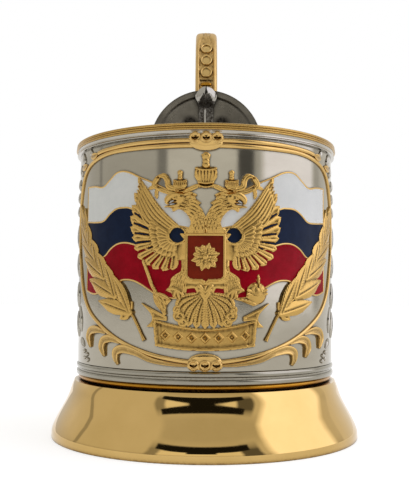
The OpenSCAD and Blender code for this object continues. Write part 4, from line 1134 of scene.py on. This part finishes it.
def ribbon():
    relief = Relief((-0.345, -0.475), (0.345, -0.21), 0.17)
    for end in (RIBBON_END, mirrored(RIBBON_END)):
        view, inside = relief.within(wall_outline(end))
        relief.lay(view, inside, 0.4 + 0.25 * bead(inside, 0.3, 0.3) + 0.012 * abs(relief.s[view[1]]))
    view, inside = relief.within(wall_outline(RIBBON_FACE))
    relief.lay(view, inside, np.where(inside < 0.72, 0.5 + 0.36 * bead(inside, 0.32, 0.3), 0.46))
    for side in (-1, 1):
        engrave(relief, on_wall([(side * 0.222, -0.33), (side * 0.214, -0.435)]), 0.35, 0.1, CORD, 0.3)
    gilded("ribbon_relief", relief, "ribbon")
    relief = Relief((-0.25, -0.45), (0.25, -0.35), FINE_GRID)
    for k in range(7):
        u = (k - 3) * 0.066
        middle = on_wall([(u, -0.397 + 0.3 * u * u)])[0]
        view, s, z = relief.window(np.array([middle]), 1.9)
        distance = abs(s - middle[0]) / 1.5 + abs(z - middle[1]) / 1.5
        height = 0.45 + 0.42 * np.clip(1 - abs(distance - 0.68) / 0.28, 0, 1) ** 0.7
        height = np.maximum(height, 0.5 + 0.4 * np.clip(1 - distance / 0.28, 0, 1))
        relief.lay(view, 1.06 * (1 - distance), height)
    gilded("lozenge_row", relief, "ribbon_lozenges")


# Laurels

STEM = [
    (0.311, -0.413), (0.355, -0.333), (0.395, -0.277), (0.497, -0.193), (0.578, -0.099), (0.653, -0.02),
    (0.734, 0.057), (0.795, 0.13), (0.834, 0.215)
]
OUTER_TIPS = [(0.619, -0.22), (0.713, -0.108), (0.79, 0.006), (0.843, 0.1), (0.88, 0.205), (0.889, 0.3)]
INNER_TIPS = [(0.512, -0.082), (0.576, -0.022), (0.64, 0.03), (0.7, 0.1), (0.757, 0.185), (0.805, 0.275)]
LEAF_WIDTHS = [3.7, 4.4, 4.6, 4.4, 3.8, 3]
LAUREL_LEAF = ([0, 0.2, 0.42, 0.62, 0.85, 1], [0.45, 0.75, 1, 0.9, 0.42, 0.06])


def laurel_leaf(relief, start, tip, width, base, bow=0.0):
    middle = toward(start, tip, 0.5)
    path = wall_path([start, (middle[0] + bow, middle[1] + bow * 0.4), tip], 7)
    blade(relief, path, width, LAUREL_LEAF, base, 0.34, barb=0.02, pitch=0.8)
    engrave(relief, path, 0.36, 0.22, VEIN, base)


def laurels():
    twig = [(0.395, -0.272), (0.387, -0.25), (0.387, -0.223)]
    for side, flip in (("right", 1), ("left", -1)):
        relief = Relief((0.29, -0.45), (0.91, 0.34), 0.175)
        laurel_leaf(relief, STEM[2], (0.459, -0.311), 2.2, 0.34)
        for i in reversed(range(6)):
            start, width, base = STEM[i + 2], LEAF_WIDTHS[i], 0.34 + 0.06 * (5 - i)
            laurel_leaf(relief, start, OUTER_TIPS[i], width, base, 0.006)
            laurel_leaf(relief, start, INNER_TIPS[i], width * 5 / 6, base, -0.006)
        leaves = skin("leaves", relief if flip > 0 else relief.flipped())
        taper = ([0, 0.04, 0.9, 1], [1.5, 1, 0.8, 0.3])
        bars = [
            strip(wall_path(STEM, 8) * (flip, 1), 0.72, taper, lower(ROUND, 1.1, 0.1)),
            strip(wall_path(twig) * (flip, 1), 0.7, CORD, lower(ROUND, 1.0, 0.1))
        ]
        piece = joined("laurel_branch", [leaves, gathered("stem", bars)])
        piece.name = "laurel_branch_" + side
        finish_piece(piece, GOLD, "laurel_" + side)


# Frame, crest, curls, drops, pendants and clasps

FRAME_HALF = [
    (0, 0.545), (0.345, 0.545), (0.55, 0.541), (0.7, 0.516), (0.792, 0.479), (0.86, 0.418), (0.912, 0.31),
    (0.933, 0.18), (0.922, 0.05), (0.882, -0.06), (0.83, -0.175), (0.74, -0.271), (0.62, -0.345),
    (0.469, -0.419), (0.3, -0.475), (0.14, -0.505), (0, -0.514)
]
RIB = (np.linspace(0, 1, 9), [1, 0.9, 0.6, 0.85, 1, 0.85, 0.6, 0.9, 1])
CREST_HALF = [(0, 0.571), (0.2, 0.571), (0.4, 0.569), (0.588, 0.561), (0.655, 0.554)]
CREST = mirrored(CREST_HALF[:0:-1]) + CREST_HALF
LOBES = ([(0.662, 0.551), (0.7, 0.542), (0.732, 0.551)], [(0.79, 0.509), (0.835, 0.5), (0.866, 0.514)])
LOBE = (np.linspace(0, 1, 6), [0.2, 0.75, 1, 1, 0.85, 0.3])


def frame_pieces():
    rib = strip(wall_outline(both(FRAME_HALF), 10), 1.2, RIB, ROUND, True)
    finish_piece(gathered("frame_rib", [rib]), GOLD_BAND, "picture_frame")
    parts = [strip(wall_path(CREST, 10), 1.15, CORD, ROUND)]
    for lobe in LOBES:
        for path in (lobe, mirrored(lobe)):
            parts.append(strip(wall_path(path, 8), 1.9, LOBE, lower(HOLLOW, 0.8)))
    finish_piece(gathered("crest_band", parts), GOLD_BAND, "frame_crest")


CURLS = [
    [(0.567, -0.385), (0.634, -0.37), (0.697, -0.376), (0.726, -0.406), (0.72, -0.438), (0.711, -0.464)],
    [(0.463, -0.43), (0.522, -0.412), (0.574, -0.42), (0.594, -0.451), (0.585, -0.48), (0.574, -0.503)],
    [(0.08, -0.53), (0.169, -0.524), (0.273, -0.507), (0.359, -0.474), (0.434, -0.459), (0.481, -0.473),
     (0.488, -0.507), (0.472, -0.538)]
]
SHORT_CURL = (np.linspace(0, 1, 6), [0.25, 0.6, 0.95, 1, 0.85, 0.3])
LONG_CURL = (np.linspace(0, 1, 8), [0.25, 0.4, 0.5, 0.6, 0.7, 0.95, 1, 0.3])
DROPS = [
    ((0.747, 0.59), (0.738, 0.55)), ((0.866, 0.585), (0.84, 0.52)), ((0.912, 0.525), (0.9, 0.46)),
    ((0.965, 0.452), (0.955, 0.39)), ((0.995, 0.38), (0.98, 0.32)), ((1.005, 0.305), (0.995, 0.245))
]
DROP = (np.linspace(0, 1, 6), [0.1, 0.55, 0.9, 1, 0.85, 0.15])
PENDANT = [
    [(1.01, 0.2), (1.005, 0.14), (0.99, 0.07)], [(1.005, 0.04), (0.985, -0.02), (0.97, -0.09)],
    [(0.975, -0.12), (0.96, -0.19), (0.955, -0.26)], [(0.91, -0.25), (0.885, -0.32), (0.87, -0.39)],
    [(0.97, -0.28), (0.95, -0.35), (0.935, -0.42)], [(0.86, -0.42), (0.835, -0.45), (0.805, -0.465)]
]
PENDANT_LEAF = (np.linspace(0, 1, 5), [0.1, 0.7, 1, 0.8, 0.1])
BEADS = [(0.8, -0.49), (0.765, -0.505), (0.79, -0.522), (0.752, -0.532)]
BEAD = (np.linspace(0, 1, 9), [0.1, 0.66, 0.87, 0.97, 1, 0.97, 0.87, 0.66, 0.1])


def curls(flip):
    return [
        strip(wall_path(path, 9) * (flip, 1), 2.3, LONG_CURL if len(path) > 6 else SHORT_CURL, HOLLOW)
        for path in CURLS
    ]


def drops(flip):
    section = lower(ROUND, 1.0, 0.1)
    return [strip(np.linspace(*on_wall(pair), 16) * (flip, 1), 1.5, DROP, section) for pair in DROPS]


def pendant(flip):
    section = lower(VEINED, 1.0, 0.1)
    parts = [strip(wall_path(path, 8) * (flip, 1), 2.0, PENDANT_LEAF, section) for path in PENDANT]
    for middle in on_wall(BEADS):
        path = np.linspace(middle - (0, 0.6), middle + (0, 0.6), 11) * (flip, 1)
        parts.append(strip(path, 1.2, BEAD, lower(ROUND, 1.0, 0.1)))
    return parts


def ornaments():
    for name, maker, material, slot, node in (
        ("curls", curls, GOLD_BAND, "satin_gold", "frame_curls"),
        ("drops", drops, NICKEL_BRIGHT, "satin_nickel", "corner_drops"),
        ("pendant", pendant, NICKEL_BRIGHT, "satin_nickel", "side_pendant"),
    ):
        for side, flip in (("_right", 1), ("_left", -1)):
            finish_piece(gathered(name + side + "_bars", maker(flip)), material, node + side)


def clasp(name, z_share, middle_lift, eye_lift, node):
    """A plate with three round eyes."""
    relief = Relief((-0.12, z_share - 0.07), (0.12, z_share + 0.07), 0.1)
    centre = on_wall([(0, z_share + middle_lift)])[0]
    view, s, z = relief.window(np.array([centre]), 5)
    inside = (1 - np.hypot((s - centre[0]) / 3.95, (z - centre[1]) / 2.0)) * 2.0
    relief.lay(view, inside, 1.0 + 0.5 * dome(inside, 1.4))
    eyes = [(x, z_share + eye_lift) for x in (-0.054, 0, 0.054)]
    for eye, radius in zip(eyes, (1.45, 1.55, 1.45)):
        ball(relief, eye, radius, 1.0, 0.6)
    for middle, (start, end) in zip(on_wall(eyes), ((20, 300), (0, 360), (-120, 160))):
        blade(relief, np.array(arc(middle, 1.05, start, end, 24, 0.9)), 0.5, CORD, 1.5, 0.3)
        slit = np.array(arc((middle[0], middle[1] + 1.0), 1.2, 235, 305))
        engrave(relief, slit, 0.55, 0.9, SLIT, 0.6)
    finish_piece(skin(name, relief), GOLD_BAND, node)


# Handle, thumb shield and leaf

shield_back, shield_front = shield_high[1], shield_low[1]
shield_mid = (shield_low[2] + shield_high[2]) / 2
shield_r = (shield_high[2] - shield_low[2]) / 2
shield_top = shield_high[2]
strap_t = 4.0
STRAP_STEPS = 420
strap_half = handle_high[0]
upper_z = (upper_low[2] + upper_high[2]) / 2
lower_z = (lower_low[2] + lower_high[2]) / 2
root_face = upper_high[1]
leg_y = shield_back + 0.1 + strap_t / 2
reach = handle_high[1] - strap_t / 2 - body_r


def rise(share):
    return lower_z + share * (handle_high[2] - strap_t / 2 - lower_z)


# Shares of the way back from the sleeve, and of the height over the lower root
BOW = [
    (0.24, 0.82), (0.32, 0.9), (0.44, 0.965), (0.58, 1), (0.74, 0.975), (0.87, 0.9), (0.96, 0.78),
    (1, 0.64), (0.995, 0.48), (0.93, 0.33), (0.79, 0.19), (0.58, 0.08), (0.33, 0.015)
]
LEG_HEIGHTS = (upper_z + strap_t * 2.2, shield_mid, shield_top - strap_t, shield_top + 0.03)
STRAP = [
    (root_face, upper_z), (root_face + strap_t * 0.8, upper_z + strap_t * 0.2),
    (leg_y, upper_z + strap_t * 1.3), *[(leg_y, z) for z in LEG_HEIGHTS],
    *[(body_r + a * reach, rise(b)) for a, b in BOW], (root_face, lower_z)
]


def strap_centre():
    """Points at even steps along the strap, as (out, up)."""
    points = curve(STRAP, 14)
    run = run_along(points)
    even = np.linspace(0, run[-1], STRAP_STEPS)
    return np.stack([np.interp(even, run, column) for column in points.T], 1)


# The strap's section as shares of its half width and half thickness: round below, and on top either a
# border round the channel or, over the handle's top, a plain edge
UNDERSIDE = [(0, -1), (0.3, -0.97), (0.55, -0.88), (0.78, -0.64), (0.93, -0.3), (1, 0.1)]
BORDER = [(0.985, 0.36), (0.95, 0.6), (0.89, 0.82), (0.81, 0.96), (0.74, 1.0), (0.67, 0.93), (0.62, 0.76)]
PLAIN_EDGE = [(0.98, 0.4), (0.92, 0.65), (0.83, 0.84), (0.72, 0.94), (0.62, 0.985), (0.52, 1.0), (0.42, 1.01)]


def handle():
    centre = strap_centre()
    size = (strap_half, strap_t / 2)
    across = np.linspace(0.56, 0.0, 8)
    channel = np.array(both(UNDERSIDE + BORDER + [(x, 0.7) for x in across])) * size
    over_top = np.array(both(UNDERSIDE + PLAIN_EDGE + [(x * 0.65, 1.02) for x in across])) * size
    top = np.argmax(centre[:, 1])
    share = np.clip((centre[:, 1] - centre[top, 1] + 6.0) / 4.5, 0, 1)
    share = (share * share * (3 - 2 * share))[:, None, None]
    sections = channel * (1 - share) + over_top * share
    # The channel's floor is cast rough, in small worm-like grains.
    rng = np.random.default_rng(7)
    floor_columns = [j for j, (a, b) in enumerate(channel) if abs(a) < 0.6 * strap_half and b > 0]
    rough = rng.random((len(centre), len(floor_columns))) - 0.5
    rough = (rough + np.roll(rough, 1, 0) + np.roll(rough, 1, 1)) / 1.8
    wear_and_shade = np.full((len(centre), len(channel)), 0.05)
    sections[:, floor_columns, 1] += rough * 0.26
    wear_and_shade[:, floor_columns] = rough * 0.22 + 0.01
    # A dark notch over the stud
    stud_low, stud_high = box("handle_stud")
    notch = (stud_low[2] + stud_high[2]) / 2 + 1.5
    rows = np.flatnonzero((abs(centre[:, 1] - notch) < 0.45) & (np.arange(len(centre)) < top))
    wear_and_shade[np.ix_(rows, floor_columns)] = -0.4
    sections[np.ix_(rows, floor_columns, [1])] -= 0.2
    piece = swept("handle_strap", centre, sections, wear_and_shade.ravel())
    finish_piece(piece, GOLD_HANDLE, "handle")


def channel_place(z):
    """On the strap's front leg at a height: a point of the channel's floor, and the way along and out."""
    centre = strap_centre()
    leg = centre[: np.argmax(centre[:, 1])]
    k = int(np.searchsorted(leg[:, 1], z))
    way = leg[k] - leg[k - 1]
    way /= np.hypot(*way)
    out = np.array([-way[1], way[0]])
    return leg[k] + out * (strap_t / 2 - 0.6), way, out


def lathe_on_strap(name, z, profile):
    """A turned piece that stands on the channel's floor: profile holds (radius, height) points."""
    floor, way, out = channel_place(z)
    segments = 40
    across, ahead, lift = revolved(profile, segments)
    ahead = ahead / max(way[1], 0.8)
    places = [floor[k] + way[k] * ahead + out[k] * lift for k in (0, 1)]
    return add_mesh(name, np.stack([across, *places], 1), grid_faces(segments, len(profile), True), 50)


def handle_beads():
    low, high = box("handle_rings")
    ring_r = 1.85
    z0, z1 = low[2] + ring_r, high[2] - ring_r
    ring = [(0.01, 0.22), (0.9, 0.2), (1.4, 0.12), (1.52, 0.2)]
    ring += arc((1.76, 0.52), 0.24, 180, 0) + [(2.0, 0.1), (2.02, -0.2)]
    rings = [lathe_on_strap(f"ring_{k}", z0 + (z1 - z0) * k / 2, ring) for k in range(3)]
    finish_piece(joined("channel_rings", rings), GOLD_RING, "handle_rings")
    low, high = box("handle_stud")
    turns = np.linspace(math.pi / 2, 0, 9)
    profile = [(max(0.85 * math.cos(a), 0.01), 0.1 + 0.95 * math.sin(a)) for a in turns] + [(0.85, -0.2)]
    stud = lathe_on_strap("stud", (low[2] + high[2]) / 2, profile)
    for v in stud.data.vertices:
        v.co.x *= 2.3
    finish_piece(joined("channel_stud", [stud]), GOLD_NECK, "handle_stud")


def thumb_shield():
    t, r = shield_back - shield_front, shield_r
    profile = [(0.01, 0), (r - 0.5, 0)] + arc((r - 0.5, 0.5), 0.5, -90, 0, 4)
    profile += [(r, t - 0.7)] + arc((r - 0.35, t - 0.45), 0.35, 0, 70, 4)
    profile += [(r - 0.75, t - 0.2), (r - 1.9, t - 0.28)] + arc((r - 2.05, t - 0.5), 0.22, 80, 0, 3)[:2]
    profile += [(r - 2.3, t - 0.75), (r - 2.7, t - 0.95), (r - 3.2, t - 1.02)]
    profile += [(x, t - 1.0) for x in np.linspace(r - 4.2, 0.01, 16)]
    segments = 200
    x, up, lift = revolved(profile, segments)
    z = shield_mid + up
    # Painted shade: the sunk face is darkened on both sides of the leaf
    shade_beside_leaf = np.exp(-(((abs(x) - 5.5) / 3.0) ** 2)) * np.clip((shield_mid + 12 - z) / 4, 0, 1)
    face = (lift > t - 1.03) & (np.tile([radius < r - 3 for radius, _ in profile], segments))
    piece = add_mesh(
        "shield_plate", np.stack([x, shield_back - lift, z], 1),
        turned_over(grid_faces(segments, len(profile), True)), 40, 0.05 - 0.3 * shade_beside_leaf * face
    )
    finish_piece(piece, NICKEL_DARK, "thumb_shield")


# Height over the shield's middle, half width, and how far the front stands off the shield's back
LEAF_STEM = [(1.95, 2.8, 2.4), (8.0, 2.6, 2.8)]
# The same from the shield's top edge
LEAF_NECK = [(-8.0, 2.5, 3.2), (-6.2, 2.4, 3.6), (-5.4, 2.6, 4.0), (-4.6, 3.0, 4.5)]
LEAF_LOBES = [(-3.8, 3.4, 4.9), (-3.0, 3.7, 5.2), (-2.3, 3.75, 5.3), (-1.6, 3.5, 5.3), (-0.9, 3.0, 5.3),
              (-0.2, 2.35, 5.2)]
LEAF_TOP = [(0.3, 1.7, 5.0), (0.7, 1.05, 4.6), (0.95, 0.45, 4.0)]


def leaf_hook():
    """Two lobes that fold over the shield's top edge, and a dark stem down its sunk face."""
    top = shield_top
    sunk, border = 1.63, 2.63
    rows = [
        (start + lift, width, back, front)
        for start, back, part in (
            (shield_mid, sunk, LEAF_STEM), (top, sunk, LEAF_NECK), (top, border, LEAF_LOBES),
            (top, 0.0, LEAF_TOP)
        )
        for lift, width, front in part
    ]
    columns = np.linspace(-1, 1, 21)
    vertices, wear_and_shade = [], []
    for z, w, back, front in rows:
        valley = max(0.0, 0.8 * (top - 0.9 - z))
        for x in columns * w:
            bright = z > top - 4.7 and abs(x) > valley
            y = front - min(0.55 * abs(x), (front - back) * 0.7) if bright else front - 1.1
            vertices.append((x, shield_back - max(y, back + 0.3), z))
            # Painted highlight: a light line down the middle of the flat stem
            stem_glint = 0.5 * math.exp(-(((x + 0.35) / 0.22) ** 2)) * (z < top - 5.5)
            wear_and_shade.append(0.1 if bright else -0.35 + stem_glint)
        vertices += [(x, shield_back - back, z) for x in columns[::-1] * w]
        wear_and_shade += [-0.2] * len(columns)
    n, m = len(rows), 2 * len(columns)
    faces = grid_faces(n, m, round_m=True) + end_faces(n, m)
    finish_piece(add_mesh("cleft_leaf", vertices, faces, 50, wear_and_shade), NICKEL_LEAF, "leaf_hook")


def plain_solids():
    """The solids that are shown as they are."""
    for material, nodes in (
        (GOLD_BAND, ("upper_root", "lower_root")),
        (STEEL, ("clamp_screw", "washer", "nut", "root_rivets")),
    ):
        for node in nodes:
            set_material(frame["nodes"][node], material)


foot()
neck()
lower_trim()
sleeve()
rim()
flag()
eagle()
shield()
crowns()
staff_and_orb()
ribbon()
laurels()
frame_pieces()
ornaments()
clasp("top_clasp_relief", 0.558, 0, 0.022, "top_clasp")
clasp("bottom_clasp_relief", -0.522, 0.012, -0.004, "bottom_clasp")
handle()
handle_beads()
thumb_shield()
leaf_hook()
plain_solids()

# Stage, light and camera

WHITE_LIGHT = (1, 1, 1, 1)


def floor():
    half = 2.5
    mesh = bpy.data.meshes.new("floor")
    corners = [(-half, -half, 0), (half, -half, 0), (half, half, 0), (-half, half, 0)]
    mesh.from_pydata(corners, [], [[0, 1, 2, 3]])
    piece = bpy.data.objects.new("floor", mesh)
    bpy.context.scene.collection.objects.link(piece)
    material, tree, shader = new_material("pale_floor")
    tree.nodes.remove(shader)
    diffuse = add_node(tree, "ShaderNodeBsdfDiffuse", Color=(0.5, 0.5, 0.5, 1)).outputs[0]
    rays = add_node(tree, "ShaderNodeLightPath").outputs
    seen = maths(tree, "MAXIMUM", rays["Is Camera Ray"], rays["Is Glossy Ray"])
    backdrop = 0.64
    glow = combined(tree, "ShaderNodeEmission", WHITE_LIGHT, product(tree, seen, backdrop))
    total = combined(tree, "ShaderNodeAddShader", diffuse, glow)
    tree.links.new(total, tree.nodes["Material Output"].inputs["Surface"])
    mesh.materials.append(material)


def slab(tree, value, low, high, soft):
    """1 between low and high, falling to 0 over soft on both sides."""
    return product(tree, span(tree, value, low - soft, low), span(tree, value, high + soft, high))


# Brightness of the tent's far left, of its soft box and of the dark bars
TENT_LEFT, SOFT_BOX, BAR = 0.88, 1.95, 0.015


def world():
    """A light tent. Directions are degrees round from the lens's side (-Y), and degrees up."""
    studio = bpy.data.worlds.new("studio")
    bpy.context.scene.world = studio
    studio.use_nodes = True
    tree = studio.node_tree
    tree.nodes.clear()
    place = add_node(tree, "ShaderNodeTexCoord").outputs["Generated"]
    x, y, z = add_node(tree, "ShaderNodeSeparateXYZ", Vector=place).outputs
    degree = 180 / math.pi
    round_to = product(tree, maths(tree, "ARCTAN2", x, product(tree, y, -1)), degree)
    up = product(tree, maths(tree, "ARCSINE", z), degree)
    bowed = maths(tree, "ADD", up, product(tree, round_to, round_to, -0.0035))

    level = span(tree, round_to, -150, -120, 1.0, TENT_LEFT)
    level = maths(tree, "MINIMUM", level, span(tree, up, -12, 20, 0.5, 1.0))
    level = maths(tree, "MAXIMUM", level, span(tree, round_to, 112, 122))

    # Where each patch starts and ends round, its softness, its masks over the height, and its brightness.
    # Each is laid over those before it. The first bar's lower edge bows down, and the last is the soft box.
    for low, high, soft, rows, value in (
        (-36, 46, 6, [span(tree, up, 34, 44)], 0.72),
        (-36, 34, 3, [span(tree, up, 30, 26)], span(tree, up, -8, 10, 0.57, 1.2)),
        (-41, -35, 3, [span(tree, up, 40, 30)], 0.42),
        (29, 41, 3, [span(tree, up, 40, 30)], 0.16),
        (-37, 34, 1.5, [span(tree, bowed, 24.8, 26.2), span(tree, up, 38, 36.5)], BAR),
        (-12, 8, 2, [slab(tree, up, 19, 30, 2)], BAR),
        (-108, -105, 1, [span(tree, up, 60, 50)], 0.5),
        (54, 106, 7, [slab(tree, up, -12, 56, 8)], SOFT_BOX)
    ):
        mask = product(tree, slab(tree, round_to, low, high, soft), *rows)
        rest = product(tree, level, maths(tree, "SUBTRACT", 1.0, mask))
        level = maths(tree, "ADD", rest, product(tree, mask, value))

    warm, cool = (1.0, 0.985, 0.95), (1.0, 1.0, 1.12)
    tint = mixed(tree, mask, warm, cool)
    lit = combined(tree, "ShaderNodeBackground", tint, level)
    plain = combined(tree, "ShaderNodeBackground", WHITE_LIGHT, 1.0)
    rays = add_node(tree, "ShaderNodeLightPath").outputs
    seen = maths(tree, "MAXIMUM", rays["Is Camera Ray"], rays["Is Transmission Ray"])
    choice = combined(tree, "ShaderNodeMixShader", seen, lit, plain)
    add_node(tree, "ShaderNodeOutputWorld", Surface=choice)


def camera():
    data = bpy.data.cameras.new("camera")
    data.sensor_width = 36
    data.sensor_fit = "AUTO"
    data.lens = 54.47
    data.clip_start = 0.01
    piece = bpy.data.objects.new("camera", data)
    pitch, roll = 0.0604, 0.0061
    piece.matrix_world = (
        Matrix.Translation((-0.00025, -0.22034, 0.03908))
        @ Matrix.Rotation(math.pi / 2 + pitch, 4, "X") @ Matrix.Rotation(roll, 4, "Z")
    )
    bpy.context.scene.collection.objects.link(piece)
    bpy.context.scene.camera = piece


floor()
world()
camera()
bpy.context.scene.view_settings.view_transform = "Standard"
